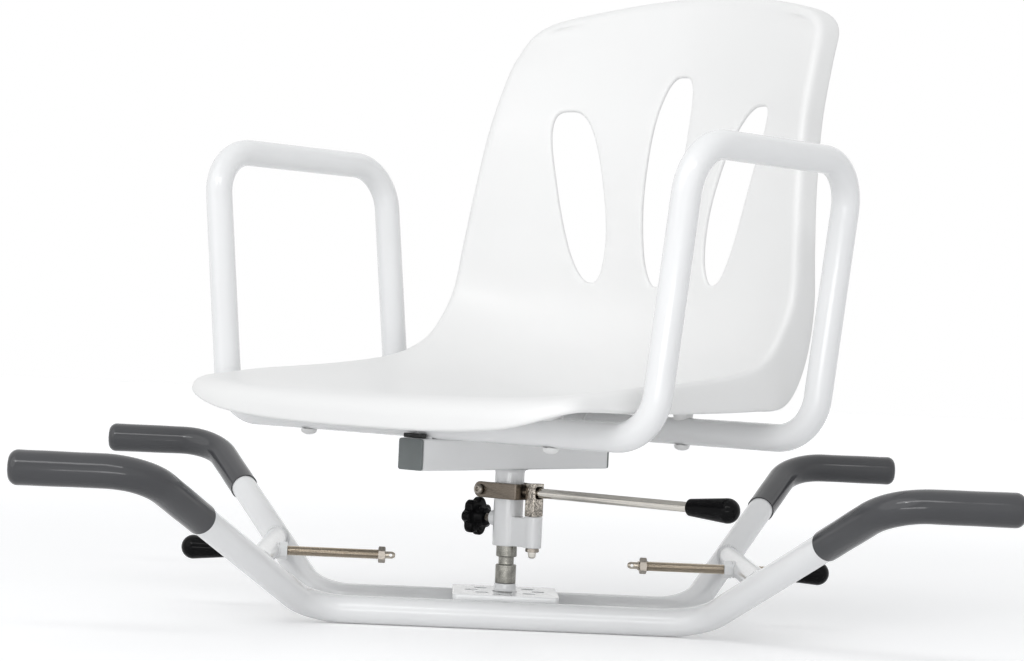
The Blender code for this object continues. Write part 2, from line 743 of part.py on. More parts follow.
def fork_inner():
    return SLEEVE_DIAMETER / 2 + FORK_CLEARANCE


def make_pivot_bolt(parent):
    """Bolt through both straps and the lug, with a hollow in its head, and the nut behind."""
    shank = PIVOT_BOLT_DIAMETER / 2
    head = PIVOT_HEAD_DIAMETER / 2
    outside = fork_inner() + FORK_THICKNESS + FIT_GAP
    end = outside + PIVOT_NUT_THICKNESS + PIVOT_BOLT_PROUD
    head_top = outside + PIVOT_HEAD_HEIGHT
    hollow = PIVOT_HOLLOW_DIAMETER / 2
    chamfer = PIVOT_HEAD_CHAMFER
    profile = [
        (0, head_top - PIVOT_HOLLOW_DEPTH),
        (hollow, head_top - PIVOT_HOLLOW_DEPTH),
        (hollow, head_top),
        (head - chamfer, head_top),
        (head, head_top - chamfer),
        (head, outside),
        (shank, outside),
        (shank, -end),
        (0, -end),
    ]
    place = (0, -PIVOT_OFFSET, LEVER_HEIGHT)
    turned("lever_pivot_bolt", profile, "steel", parent, place, (0, 90, 0), steps=SMALL_STEPS)
    nut_middle = (-outside - PIVOT_NUT_THICKNESS / 2, -PIVOT_OFFSET, LEVER_HEIGHT)
    outlines = [hexagon(PIVOT_NUT_ACROSS_FLATS), circle(shank + THREAD_GAP, SMALL_STEPS)]
    prism("lever_pivot_nut", outlines, PIVOT_NUT_THICKNESS, "steel", parent, nut_middle, (0, 90, 0))


def make_hex_bush(parent):
    """The hexagonal bush in the barrel's foot, which guides the plunger."""
    bore = circle(PLUNGER_DIAMETER / 2 + FIT_GAP, SMALL_STEPS)
    middle = (0, BARREL_OFFSET, HEX_BUSH_BOTTOM + HEX_BUSH_HEIGHT / 2)
    outlines = [hexagon(HEX_BUSH_ACROSS_FLATS), bore]
    flange = prism("plunger_bush", outlines, HEX_BUSH_HEIGHT, "steel", parent, middle)
    overlap = HEX_BUSH_HEIGHT / 3
    spigot_height = HEX_BUSH_SPIGOT + FIT_GAP + overlap
    spigot_middle = (0, BARREL_OFFSET, HEX_BUSH_BOTTOM + HEX_BUSH_HEIGHT - overlap + spigot_height / 2)
    outlines = [circle(BARREL_BORE / 2 - FIT_GAP, SMALL_STEPS), bore]
    spigot = prism("bush_spigot", outlines, spigot_height, None, parent, spigot_middle)
    apply_boolean(flange, spigot, "UNION")
    return flange


def plunger_collar_bottom():
    return SLEEVE_BOTTOM + HEX_BUSH_SPIGOT + FIT_GAP


def make_spring(parent):
    """Return spring between the plunger's collar and the barrel's top wall."""
    bottom = plunger_collar_bottom() + PLUNGER_COLLAR + FIT_GAP + SPRING_WIRE / 2
    top = BARREL_TOP - BARREL_TOP_WALL - FIT_GAP - SPRING_WIRE / 2
    radius = (PLUNGER_DIAMETER / 2 + BARREL_BORE / 2) / 2
    per_turn = 8
    path = []
    for step in range(SPRING_TURNS * per_turn + 1):
        share = step / (SPRING_TURNS * per_turn)
        angle = 2 * math.pi * step / per_turn
        height = bottom + share * (top - bottom)
        path.append((radius * math.cos(angle), BARREL_OFFSET + radius * math.sin(angle), height))
    return tube("plunger_spring", path, SPRING_WIRE / 2, "steel", parent, sides=4)


# Locking plunger, in a frame on its own axis


def make_plunger(parent):
    full = PLUNGER_DIAMETER / 2
    tip = PLUNGER_TIP_DIAMETER / 2
    tip_bottom = HEX_BUSH_BOTTOM - PLUNGER_REACH
    collar_bottom = plunger_collar_bottom()
    collar = BARREL_BORE / 2 - FIT_GAP
    head_bottom = BARREL_TOP + FIT_GAP
    pin_top = head_bottom + HEAD_ENTRY - FIT_GAP
    profile = [
        (0, pin_top),
        (full, pin_top),
        (full, collar_bottom + PLUNGER_COLLAR),
        (collar, collar_bottom + PLUNGER_COLLAR),
        (collar, collar_bottom),
        (full, collar_bottom),
        (full, HEX_BUSH_BOTTOM - PLUNGER_TAPER),
        (tip, tip_bottom + PLUNGER_TIP_LENGTH),
        (tip - PLUNGER_TIP_STEP, tip_bottom),
        (0, tip_bottom),
    ]
    turned("plunger_pin", profile, "steel", parent, steps=SMALL_STEPS)
    swing = math.tan(LEVER_SWING)
    slot_half = ROD_DIAMETER / 2 / math.cos(LEVER_SWING) + HEAD_LENGTH / 2 * swing + RUNNING_GAP
    head_top = LEVER_HEIGHT + slot_half + HEAD_TOP_WALL
    size = (HEAD_WIDTH, HEAD_LENGTH, head_top - head_bottom)
    middle = (0, 0, (head_top + head_bottom) / 2)
    head = box("plunger_head", size, "steel", parent, middle, bevel=HEAD_EDGE)
    slot_size = (ROD_DIAMETER + 2 * FIT_GAP, 2 * HEAD_LENGTH, 2 * slot_half)
    slot = box("rod_slot", slot_size, None, parent, (0, 0, LEVER_HEIGHT))
    socket = cylinder(
        "pin_socket", full + THREAD_GAP, 2 * HEAD_ENTRY, None, parent, (0, 0, head_bottom), sides=24
    )
    apply_boolean(head, slot)
    apply_boolean(head, socket)


# Lever, in a frame on its pivot axis: +Y along the rod


def make_lever(parent):
    inner = fork_inner()
    outer = inner + FORK_THICKNESS
    web_inner = PIVOT_OFFSET + FORK_WEB_START
    web_outer = web_inner + FORK_THICKNESS
    back = -FORK_DEPTH / 2
    corner = FORK_CORNER
    step = FORK_CORNER_STEP
    outline = [
        (-outer, back),
        (-inner, back),
        (-inner, web_inner),
        (inner, web_inner),
        (inner, back),
        (outer, back),
        (outer, web_outer - corner),
        (outer - step, web_outer - step),
        (outer - corner, web_outer),
        (-outer + corner, web_outer),
        (-outer + step, web_outer - step),
        (-outer, web_outer - corner),
    ]
    fork = prism("lever_fork", [outline], FORK_DEPTH, "steel", parent)
    arc = [math.radians(90 + 180 * index / 10) for index in range(11)]
    half = FORK_DEPTH / 2
    spare = FORK_THICKNESS
    side = [(half * math.cos(a), half * math.sin(a)) for a in arc]
    side += [(0, -half - spare), (web_outer + spare, -half - spare)]
    side += [(web_outer + spare, half + spare), (0, half + spare)]
    rounding = prism("fork_rounding", [side], CUTTER_LENGTH, None, parent, (0, 0, 0), (90, 0, 90))
    apply_boolean(fork, rounding, "INTERSECT")
    hole_radius = PIVOT_BOLT_DIAMETER / 2 + FIT_GAP
    hole = cylinder(
        "fork_hole", hole_radius, CUTTER_LENGTH, None, parent, (0, 0, 0), (0, 90, 0), SMALL_STEPS
    )
    apply_boolean(fork, hole)
    rod_start = web_outer + FIT_GAP
    knob_start = PIVOT_OFFSET + LEVER_KNOB_START
    rod_end = knob_start + KNOB_BORE_DEPTH - FIT_GAP
    radius = ROD_DIAMETER / 2
    profile = [(0, rod_end), (radius, rod_end), (radius, rod_start), (0, rod_start)]
    turned("lever_rod", profile, "steel", parent, (0, 0, 0), (-90, 0, 0), steps=SMALL_STEPS)
    make_tapered_knob("lever_knob", parent, (0, knob_start, 0), (-90, 0, 0))


# Clamp screw, in a frame whose +Z points out along the screw


def make_clamp_stud(parent):
    full = STUD_DIAMETER / 2
    point = STUD_POINT_DIAMETER / 2
    start = SPINDLE_DIAMETER / 2 + RUNNING_GAP
    shoulder = start + STUD_POINT_LENGTH
    end = star_disc_start() + STUD_IN_STAR
    profile = [
        (0, end),
        (full, end),
        (full, shoulder + STUD_POINT_STEP),
        (point, shoulder),
        (point, start),
        (0, start),
    ]
    return turned("clamp_stud", profile, "steel", parent, steps=SMALL_STEPS)


def star_disc_start():
    return STAR_HUB_START + STAR_HUB_LENGTH


def make_star_knob(parent):
    outline = []
    steps = STAR_LOBES * 8
    middle_radius = STAR_DIAMETER / 2 - STAR_LOBE_HEIGHT
    for step in range(steps):
        angle = 2 * math.pi * step / steps
        radius = middle_radius + STAR_LOBE_HEIGHT * math.cos(STAR_LOBES * angle)
        outline.append((radius * math.cos(angle), radius * math.sin(angle)))
    disc_start = star_disc_start()
    disc_middle = (0, 0, disc_start + STAR_THICKNESS / 2)
    knob = prism("star_knob", [outline], STAR_THICKNESS, "black_plastic", parent, disc_middle)
    edge = knob.modifiers.new("edges", "BEVEL")
    edge.width = STAR_EDGE
    edge.segments = 1
    edge.limit_method = "ANGLE"
    edge.angle_limit = math.radians(60)
    hub_length = STAR_HUB_LENGTH + STAR_THICKNESS / 2
    hub_middle = (0, 0, disc_start - STAR_HUB_LENGTH + hub_length / 2)
    hub_radius = STAR_HUB_DIAMETER / 2
    hub = cylinder("star_hub", hub_radius, hub_length, None, parent, hub_middle, sides=SMALL_STEPS)
    apply_boolean(knob, hub, "UNION")
    bore_end = disc_start + STUD_IN_STAR + FIT_GAP
    bore_radius = STUD_DIAMETER / 2 + THREAD_GAP
    bore = cylinder("star_bore", bore_radius, 2 * bore_end, None, parent, sides=SMALL_STEPS)
    apply_boolean(knob, bore)
    return knob


# Beam and armrest loops, in the seat's frame


def make_beam(parent):
    inside = BEAM_WIDTH - 2 * BEAM_WALL
    outlines = [
        rounded_rectangle(BEAM_WIDTH, BEAM_WIDTH, BEAM_CORNER_RADIUS),
        rounded_rectangle(inside, inside, BEAM_CORNER_RADIUS / 2),
    ]
    height = BEAM_BOTTOM + BEAM_WIDTH / 2
    middle = ((BEAM_FRONT - BEAM_REAR) / 2, 0, height)
    prism("seat_beam", outlines, BEAM_FRONT + BEAM_REAR, "white_paint", parent, middle, (0, 90, 0))
    for name, end, facing in (("front_beam_cap", BEAM_FRONT, 1), ("rear_beam_cap", -BEAM_REAR, -1)):
        face = rounded_rectangle(BEAM_WIDTH, BEAM_WIDTH, BEAM_CORNER_RADIUS)
        place = (end + facing * (FIT_GAP + CAP_THICKNESS / 2), 0, height)
        cap = prism(name, [face], CAP_THICKNESS, "grey_plastic", parent, place, (0, 90, 0))
        plug_width = inside - 2 * FIT_GAP
        plug_outline = rounded_rectangle(plug_width, plug_width, BEAM_CORNER_RADIUS / 2)
        plug_length = CAP_PLUG_LENGTH + FIT_GAP + CAP_THICKNESS / 2
        plug_place = (end + facing * (FIT_GAP + CAP_THICKNESS / 2 - plug_length / 2), 0, height)
        plug = prism(name + "_plug", [plug_outline], plug_length, None, parent, plug_place, (0, 90, 0))
        apply_boolean(cap, plug, "UNION")


def make_armrest(name, side, parent):
    """One closed-looking loop: its two lower runs meet the other loop's over the beam."""
    low = LOOP_BOTTOM_HEIGHT
    start = side * FIT_GAP / 2
    corners = [
        (LOOP_FRONT_BOTTOM, start, low),
        (LOOP_FRONT_BOTTOM, side * LOOP_BOTTOM_SPREAD, low),
        (LOOP_FRONT_TOP, side * LOOP_TOP_SPREAD, LOOP_TOP_HEIGHT),
        (LOOP_REAR_TOP, side * LOOP_TOP_SPREAD, LOOP_TOP_HEIGHT),
        (LOOP_REAR_BOTTOM, side * LOOP_BOTTOM_SPREAD, low),
        (LOOP_REAR_BOTTOM, start, low),
    ]
    return tube(name, bent_path(corners, LOOP_BEND_RADIUS), TUBE_DIAMETER / 2, "white_paint", parent)


def make_beam_pad(parent):
    """A strip of rubber on the beam's front end, in front of the armrest runs."""
    size = (PAD_LENGTH, BEAM_WIDTH - 2 * BEAM_CORNER_RADIUS, PAD_HEIGHT)
    middle = (BEAM_FRONT - PAD_LENGTH / 2, 0, BEAM_TOP + FIT_GAP + PAD_HEIGHT / 2)
    return box("beam_pad", size, "black_rubber", parent, middle, bevel=PAD_EDGE)


# Seat shell, in the seat's frame


def along(points, station):
    """A smooth curve through the points, one unit of station apart."""
    count = len(points)
    index = min(int(station), count - 2)
    share = station - index
    known = np.array(points, dtype=float)
    first, second = known[index], known[index + 1]
    before = known[index - 1] if index else 2 * first - second
    after = known[index + 2] if index + 2 < count else 2 * second - first
    out_of_first = (second - before) / 2
    into_second = (after - first) / 2
    return (
        (2 * share**3 - 3 * share**2 + 1) * first
        + (share**3 - 2 * share**2 + share) * out_of_first
        + (3 * share**2 - 2 * share**3) * second
        + (share**3 - share**2) * into_second
    )


def centre_point(station):
    forward, height = along(SHELL_CENTRE_LINE, station)
    return np.array([forward, 0.0, BEAM_TOP + height])


def side_row(station):
    """Where the upper face starts to turn down, the corner that it turns round, and the skirt's edge."""
    rim = along(SHELL_RIM_LINE, station)
    edge = along(SHELL_EDGE_LINE, station)
    width = float(along(SHELL_HALF_WIDTHS, station))
    centre = centre_point(station)
    corner = np.array([rim[0], width, BEAM_TOP + rim[1]])
    inset = 1 - SHELL_RIM_ROUND / width
    start = centre + (corner - centre) * np.array([inset**2, inset, inset**2])
    return start, corner, np.array([edge[0], width + SHELL_FLARE, BEAM_TOP + edge[1]])


def front_row(sideways):
    """The same three points of the front lip, at a distance from the middle."""
    share = abs(sideways) / SHELL_HALF_WIDTHS[0]
    crease = SHELL_CENTRE_LINE[0]
    height = BEAM_TOP + crease[1] + CREASE_RISE * share**2
    return (
        np.array([crease[0], sideways, height]),
        np.array([LIP_FRONT, sideways, height]),
        np.array([LIP_FRONT, sideways, BEAM_TOP + LIP_BOTTOM + LIP_CORNER_RISE * share**3]),
    )


def top_row(sideways):
    """The same three points of the rolled top of the back."""
    centre = centre_point(len(SHELL_CENTRE_LINE) - 1)
    share = abs(sideways) / SHELL_HALF_WIDTHS[-1]
    forward = centre[0] + (SHELL_RIM_LINE[-1][0] - centre[0]) * share**2
    height = centre[2] - BACK_TOP_CAMBER * sideways**2
    roll_top = height + SHELL_RIM_ROUND
    return (
        np.array([forward, sideways, height]),
        np.array([forward, sideways, roll_top]),
        np.array([forward - BACK_TOP_ROLL, sideways, roll_top]),
    )


def corner_rows(station, beyond, end_row, reach):
    """Rows that turn from the side into the end row, by a smooth curve through each of the three points."""
    small = 0.01
    handle = 0.39
    at_side = side_row(station)
    inside = side_row(station - beyond * small)
    at_end = end_row(reach)
    past_end = end_row(reach - small)
    rows = []
    for step in range(CORNER_ROWS + 1):
        t = step / CORNER_ROWS
        row = []
        for first, before, last, after in zip(at_side, inside, at_end, past_end):
            length = handle * np.linalg.norm(last - first)
            out = (first - before) / np.linalg.norm(first - before) * length
            into = (after - last) / np.linalg.norm(after - last) * length
            row.append(
                (1 - t) ** 3 * first
                + 3 * t * (1 - t) ** 2 * (first + out)
                + 3 * t**2 * (1 - t) * (last - into)
                + t**3 * last
            )
        rows.append(row)
    return rows


def shell_rows():
    """Each row's centre, three side points and rim radius, from the front lip to the top of the back."""
    last = len(SHELL_CENTRE_LINE) - 1
    front_reach = side_row(0)[0][1] - FRONT_CORNER_RADIUS
    top_reach = side_row(last)[0][1] - TOP_CORNER_RADIUS
    front_share = 0.25
    top_share = 0.4
    blend = 3
    rows = []
    for step, row in enumerate(corner_rows(0, -1, front_row, front_reach)[::-1]):
        rows.append((centre_point(front_share * step / CORNER_ROWS), row, SHELL_FRONT_ROUND))
    for step in range(1, last * ROWS_PER_STATION + 1):
        station = step / ROWS_PER_STATION
        from_front = front_share * max(1 - station / blend, 0) ** 2
        from_top = top_share * max((station - last + blend) / blend, 0) ** 2
        radius = SHELL_RIM_ROUND + (SHELL_FRONT_ROUND - SHELL_RIM_ROUND) * max(1 - station, 0)
        rows.append((centre_point(station + from_front - from_top), side_row(station), radius))
    for step, row in enumerate(corner_rows(last, 1, top_row, top_reach)[1:], 1):
        rows.append((centre_point(last - top_share * (1 - step / CORNER_ROWS)), row, SHELL_RIM_ROUND))
    return rows, front_reach, top_reach


def skirt_points(start, corner, edge, radius):
    """Round the corner and down to the skirt's edge."""
    wall = edge - corner
    bend_end = corner + wall * radius / np.linalg.norm(wall)
    points = []
    for step in range(1, BEND_STEPS + 1):
        turn = step / BEND_STEPS
        points.append((1 - turn) ** 2 * start + 2 * turn * (1 - turn) * corner + turn**2 * bend_end)
    points += [bend_end + (edge - bend_end) * step / WALL_STEPS for step in range(1, WALL_STEPS + 1)]
    return points


def shell_sheet():
    """The upper face as one open sheet, with its skirts all round."""
    shape = bmesh.new()
    rows, front_reach, top_reach = shell_rows()
    grid = []
    for centre, (start, _, _), _ in rows:
        line = []
        for column in range(-COLUMNS, COLUMNS + 1):
            share = abs(column) / COLUMNS
            point = centre + (start - centre) * np.array([share**2, share, share**2])
            line.append(shape.verts.new(point * np.array([1, 1 if column > 0 else -1, 1])))
        grid.append(line)
    for below, above in zip(grid[:-1], grid[1:]):
        for column in range(2 * COLUMNS):
            shape.faces.new((below[column], below[column + 1], above[column + 1], above[column]))
    last = len(rows) - 1
    loop = []
    for column in range(-COLUMNS, COLUMNS):
        row = front_row(front_reach * column / COLUMNS)
        loop.append((grid[0][column + COLUMNS], row, SHELL_FRONT_ROUND, 1))
    for index in range(last):
        loop.append((grid[index][-1], rows[index][1], rows[index][2], 1))
    for column in range(COLUMNS, -COLUMNS, -1):
        row = top_row(top_reach * column / COLUMNS)
        loop.append((grid[last][column + COLUMNS], row, SHELL_RIM_ROUND, 1))
    for index in range(last, 0, -1):
        loop.append((grid[index][0], rows[index][1], rows[index][2], -1))
    strips = []
    for vertex, three_points, radius, side in loop:
        strip = [vertex]
        for point in skirt_points(*three_points, radius):
            strip.append(shape.verts.new(point * np.array([1, side, 1])))
        strips.append(strip)
    for index, strip in enumerate(strips):
        after = strips[(index + 1) % len(strips)]
        for step in range(len(strip) - 1):
            shape.faces.new((strip[step], strip[step + 1], after[step + 1], after[step]))
    bmesh.ops.recalc_face_normals(shape, faces=shape.faces)
    if grid[len(grid) // 3][COLUMNS].link_faces[0].normal.z < 0:
        bmesh.ops.reverse_faces(shape, faces=shape.faces)
    return shape


def slot_outline(foot, top, half_width, side, steps=7):
    """A slot leaning out from foot to top, and bowed towards the middle where it has a side to bow to."""
    low = SLOT_WIDEST
    ring = []
    for step in range(steps):
        angle = math.pi / 2 * step / steps
        height = low - low * math.cos(angle) ** (2 / SLOT_FOOT_POWER)
        ring.append((height, math.sin(angle) ** (2 / SLOT_FOOT_POWER)))
    for step in range(steps + 1):
        angle = math.pi / 2 * (1 - step / steps)
        rise = (1 - low) * math.cos(angle) ** (2 / SLOT_TOP_POWER)
        ring.append((low + rise, math.sin(angle) ** (2 / SLOT_TOP_POWER)))
    outline = []
    for edge in (1, -1):
        for share, width in ring if edge > 0 else ring[-2:0:-1]:
            sideways = foot[0] + (top[0] - foot[0]) * share
            bow = SLOT_BOW * math.sin(math.pi * share) if foot[0] else 0
            height = BEAM_TOP + foot[1] + (top[1] - foot[1]) * share
            outline.append((side * (sideways - bow + edge * half_width * width), height))
    return outline


def make_shell(parent):
    """The moulded seat: pan, back and skirts as one sheet of even wall, with three openings in its back."""
    mesh = bpy.data.meshes.new("seat_shell")
    shape = shell_sheet()
    shape.to_mesh(mesh)
    shape.free()
    smooth(mesh, 60)
    shell = add_object("seat_shell", mesh, "white_plastic", parent)
    wall = shell.modifiers.new("wall", "SOLIDIFY")
    wall.thickness = SHELL_THICKNESS
    wall.offset = -1
    for name, (foot, top, half_width), side in (
        ("left_slot", SIDE_SLOT, 1),
        ("middle_slot", MIDDLE_SLOT, 1),
        ("right_slot", SIDE_SLOT, -1),
    ):
        outline = slot_outline(foot, top, half_width, side)
        place = (SHELL_RIM_LINE[-1][0], 0, 0)
        cutter = prism(name, [outline], CUTTER_LENGTH, None, parent, place, (90, 0, 90))
        apply_boolean(shell, cutter)
    return shell


def underside_height(shell, forward, sideways, radius):
    """The lowest point of the shell's underside over a round spot."""
    bpy.context.view_layer.update()
    graph = bpy.context.evaluated_depsgraph_get()
    evaluated = shell.evaluated_get(graph)
    heights = []
    for x, y in circle(radius, 8, (forward, sideways)) + [(forward, sideways)]:
        hit, place, _, _ = evaluated.ray_cast(Vector((x, y, LOOP_BOTTOM_HEIGHT)), Vector((0, 0, 1)))
        if hit:
            heights.append(place.z)
    return min(heights)


def make_shell_fixings(shell, loops, parent):
    """A conical spacer on each run, with a screw up through the tube into it."""
    spots = (
        ("front_left", LOOP_FRONT_BOTTOM, FRONT_SCREW_SPREAD, 1),
        ("front_right", LOOP_FRONT_BOTTOM, FRONT_SCREW_SPREAD, -1),
        ("rear_left", LOOP_REAR_BOTTOM, REAR_SCREW_SPREAD, 1),
        ("rear_right", LOOP_REAR_BOTTOM, REAR_SCREW_SPREAD, -1),
    )
    tube_top = LOOP_BOTTOM_HEIGHT + TUBE_DIAMETER / 2
    tube_bottom = LOOP_BOTTOM_HEIGHT - TUBE_DIAMETER / 2
    for name, forward, spread, side in spots:
        loop = loops[side]
        place = (forward, side * spread, 0)
        top = underside_height(shell, forward, side * spread, SPACER_TOP_DIAMETER / 2) - FIT_GAP
        bottom = tube_top - SPACER_WRAP
        profile = [
            (0, top),
            (SPACER_TOP_DIAMETER / 2, top),
            (SPACER_BOTTOM_DIAMETER / 2, bottom),
            (0, bottom),
        ]
        spacer = turned(f"{name}_spacer", profile, "white_plastic", parent, place, steps=SMALL_STEPS)
        run_middle = (forward, side * spread, LOOP_BOTTOM_HEIGHT)
        cope_radius = TUBE_DIAMETER / 2 + FIT_GAP
        cope = cylinder(f"{name}_cope", cope_radius, CUTTER_LENGTH, None, parent, run_middle, (90, 0, 0))
        apply_boolean(spacer, cope)
        hole_radius = SCREW_DIAMETER / 2 + THREAD_GAP
        drill_bottom = tube_bottom - SCREW_HEAD_HEIGHT
        drill_top = top - SCREW_END_WALL
        drill_middle = (forward, side * spread, (drill_top + drill_bottom) / 2)
        drill = cylinder(
            f"{name}_drill", hole_radius, drill_top - drill_bottom, None, parent, drill_middle, sides=16
        )
        apply_boolean(spacer, drill)
        apply_boolean(loop, drill)
        head_top = tube_bottom - FIT_GAP
        head_radius = SCREW_HEAD_DIAMETER / 2
        shank = SCREW_DIAMETER / 2
        profile = [
            (0, drill_top - FIT_GAP),
            (shank, drill_top - FIT_GAP),
            (shank, head_top),
            (head_radius, head_top),
            (head_radius * 0.9, head_top - SCREW_HEAD_HEIGHT * 0.55),
            (head_radius * 0.55, head_top - SCREW_HEAD_HEIGHT * 0.9),
            (0, head_top - SCREW_HEAD_HEIGHT),
        ]
        turned(f"{name}_screw", profile, "white_plastic", parent, place, steps=SMALL_STEPS)


# The whole object


def main():
    global parts, cutters
    clear_scene()
    parts = new_collection("swivel_bath_seat")
    cutters = new_collection("cutters")
    add_materials()

    base = add_empty("base_origin")
    make_base_tube("front_base_tube", -1, base)
    make_base_tube("rear_base_tube", 1, base)
    for end, side_y in (("front", -1), ("rear", 1)):
        for hand, side_x in (("left", -1), ("right", 1)):
            make_grip(f"{end}_{hand}_grip", side_x, side_y, base)
    make_pivot_plate(base)
    make_spindle_collar(base)
    make_spindle(base)
    height, _ = cross_tube_height()
    adjusters = (
        ("left", -1, LEFT_ROD_START, LEFT_NUT_START),
        ("right", 1, RIGHT_ROD_START, RIGHT_NUT_START),
    )
    for hand, side_x, rod_start, nut_start in adjusters:
        make_cross_tube(f"{hand}_cross_tube", side_x, base)
        make_boss(f"{hand}_adjuster_boss", side_x, base)
        axis = add_empty(f"{hand}_adjuster_axis", base, (0, 0, height), (0, 90 * side_x, 0))
        make_adjuster(hand, rod_start, nut_start, axis)

    make_sleeve_bush(base)
    seat = add_empty("seat_axis", base, (0, 0, 0), (0, 0, 180 + SEAT_HEADING))
    bpy.context.view_layer.update()
    make_sleeve(seat)
    make_pivot_lug(seat)
    make_pivot_bolt(seat)
    make_hex_bush(seat)
    make_spring(seat)
    make_plunger(add_empty("plunger_axis", seat, (0, BARREL_OFFSET, 0)))
    make_lever(add_empty("lever_axis", seat, (0, -PIVOT_OFFSET, LEVER_HEIGHT)))
    clamp_axis = add_empty("clamp_axis", seat, (0, 0, CLAMP_HEIGHT), (90, 0, 0))
    make_clamp_stud(clamp_axis)
    make_star_knob(clamp_axis)
    make_beam(seat)
    make_beam_pad(seat)
    loops = {1: make_armrest("left_armrest", 1, seat), -1: make_armrest("right_armrest", -1, seat)}
    shell = make_shell(seat)
    make_shell_fixings(shell, loops, seat)


main()
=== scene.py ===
import json
import math

import bmesh
import bpy
import numpy as np
from mathutils import Matrix, Vector
from mathutils.bvhtree import BVHTree
from mathutils.geometry import delaunay_2d_cdt

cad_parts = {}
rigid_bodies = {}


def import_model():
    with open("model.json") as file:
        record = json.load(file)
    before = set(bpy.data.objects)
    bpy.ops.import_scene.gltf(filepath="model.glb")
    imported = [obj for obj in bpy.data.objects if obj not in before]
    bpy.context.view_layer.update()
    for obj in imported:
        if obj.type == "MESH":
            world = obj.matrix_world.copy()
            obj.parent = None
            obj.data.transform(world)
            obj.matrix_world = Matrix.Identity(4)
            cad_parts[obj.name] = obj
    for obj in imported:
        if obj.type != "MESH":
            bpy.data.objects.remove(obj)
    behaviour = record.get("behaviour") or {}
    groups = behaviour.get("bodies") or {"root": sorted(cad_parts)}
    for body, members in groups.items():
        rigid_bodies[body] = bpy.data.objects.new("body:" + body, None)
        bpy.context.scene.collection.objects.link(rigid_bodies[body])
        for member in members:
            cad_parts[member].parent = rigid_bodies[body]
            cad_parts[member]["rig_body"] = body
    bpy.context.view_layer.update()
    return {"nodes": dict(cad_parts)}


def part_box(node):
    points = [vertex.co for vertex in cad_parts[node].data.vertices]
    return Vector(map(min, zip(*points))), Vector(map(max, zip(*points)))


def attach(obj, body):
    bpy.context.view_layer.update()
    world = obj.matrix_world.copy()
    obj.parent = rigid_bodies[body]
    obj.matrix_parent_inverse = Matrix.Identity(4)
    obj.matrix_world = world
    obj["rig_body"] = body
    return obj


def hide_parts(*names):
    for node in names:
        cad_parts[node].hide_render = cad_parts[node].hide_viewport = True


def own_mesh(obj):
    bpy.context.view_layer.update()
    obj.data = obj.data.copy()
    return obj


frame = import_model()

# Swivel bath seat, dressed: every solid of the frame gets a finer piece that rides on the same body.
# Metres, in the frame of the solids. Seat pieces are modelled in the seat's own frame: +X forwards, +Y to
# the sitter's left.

# Sizes, as in the solids, and those of the finer details that only the skins have
FIT_GAP = 0.0003
THREAD_GAP = 0.00015
RUNNING_GAP = 0.0002
TOUCH = 0.00005
OVERLAP = 0.002
FINE_EDGE = 0.0004
SMALL_EASE = 0.0003

TUBE_RADIUS = 0.0111
TUBE_INSET = 0.00001
RUN_HALF_LENGTH = 0.155
RUN_Y = 0.0495
ARM_TOP_X = 0.2643
ARM_TOP_Y = 0.275
ARM_RISE = 0.1137
BASE_HALF_WIDTH = 0.360
BASE_BEND_RADIUS = 0.045

GRIP_RADIUS = 0.01275
GRIP_EDGE_WALL = 0.0008
GRIP_END_WALL = 0.0060
GRIP_END_ROUND = 0.0070
GRIP_ON_SLOPE = 0.087
GRIP_UNEVEN = 0.00006
GRIP_WAVES = 160

PLATE_WIDTH = 0.085
PLATE_THICKNESS = 0.006
PLATE_CORNER_RADIUS = 0.004
PLATE_EDGE = 0.0006
INDEX_HOLES = 8
INDEX_HOLE_RADIUS = 0.0054
COLLAR_RADIUS = 0.009
COLLAR_FLARE = 0.0016
COLLAR_EASE = 0.0009
SPINDLE_RADIUS = 0.0085
SPINDLE_CHAMFER = 0.0012
SPIGOT_RADIUS = 0.006
GROOVE_RADIUS = 0.0063
GROOVE_WIDTH = 0.0061
GROOVE_HEIGHT = 0.0249
GROOVE_CHAMFER = 0.0006

CROSS_TUBE_RADIUS = 0.0095
CROSS_TUBE_X = 0.1935
CROSS_WELD_RADIUS = 0.0017
BOSS_WIDTH = 0.0125
BOSS_LENGTH = 0.0066
BOSS_WELD_RING = 0.0058
BOSS_WELD_RADIUS = 0.0013
ROD_STARTS = {"left": 0.090, "right": 0.0986}
ROD_RADIUS = 0.004
ROD_PITCH = 0.00125
ROD_TIP_RADIUS = 0.0029
ROD_TIP_LENGTH = 0.008
ROD_TIP_HOLE = 0.0026
ROD_TIP_HOLE_HEIGHT = 0.0036
ROD_TIP_NOSE = 0.0022
ROD_TIP_EASE = 0.0008
NUT_WIDTH = 0.0115
NUT_THICKNESS = 0.0058
BUFFER_START = 0.217
KNOB_LENGTH = 0.046
KNOB_NECK_RADIUS = 0.00675
KNOB_RADIUS = 0.00975
KNOB_BORE_DEPTH = 0.028
KNOB_EASE = 0.0012

SEAT_HEADING = 48.0
SEAT_DROP = 0.0334
SLEEVE_RADIUS = 0.012
SLEEVE_BORE_RADIUS = 0.010
SLEEVE_FILLET = 0.0026
BARREL_OFFSET = 0.027
BARREL_RADIUS = 0.0073
BARREL_BORE_RADIUS = 0.005
BARREL_TOP = 0.0884
BARREL_TOP_WALL = 0.003
WEB_THICKNESS = 0.0140
WEB_TOP = 0.0871
HEX_BUSH_WIDTH = 0.0097
HEX_BUSH_HEIGHT = 0.003
HEX_BUSH_SPIGOT = 0.004
PLUNGER_RADIUS = 0.0035
PLUNGER_TIP_RADIUS = 0.003
PIN_RIM_THICKNESS = 0.002
PIN_NOSE = 0.001
HEAD_LENGTH = 0.010
HEAD_WIDTH = 0.0126
HEAD_CORNER_RADIUS = 0.0014
PLUNGER_LIFT = 0.0065
SPRING_WIRE = 0.0008
SPRING_TURNS = 6

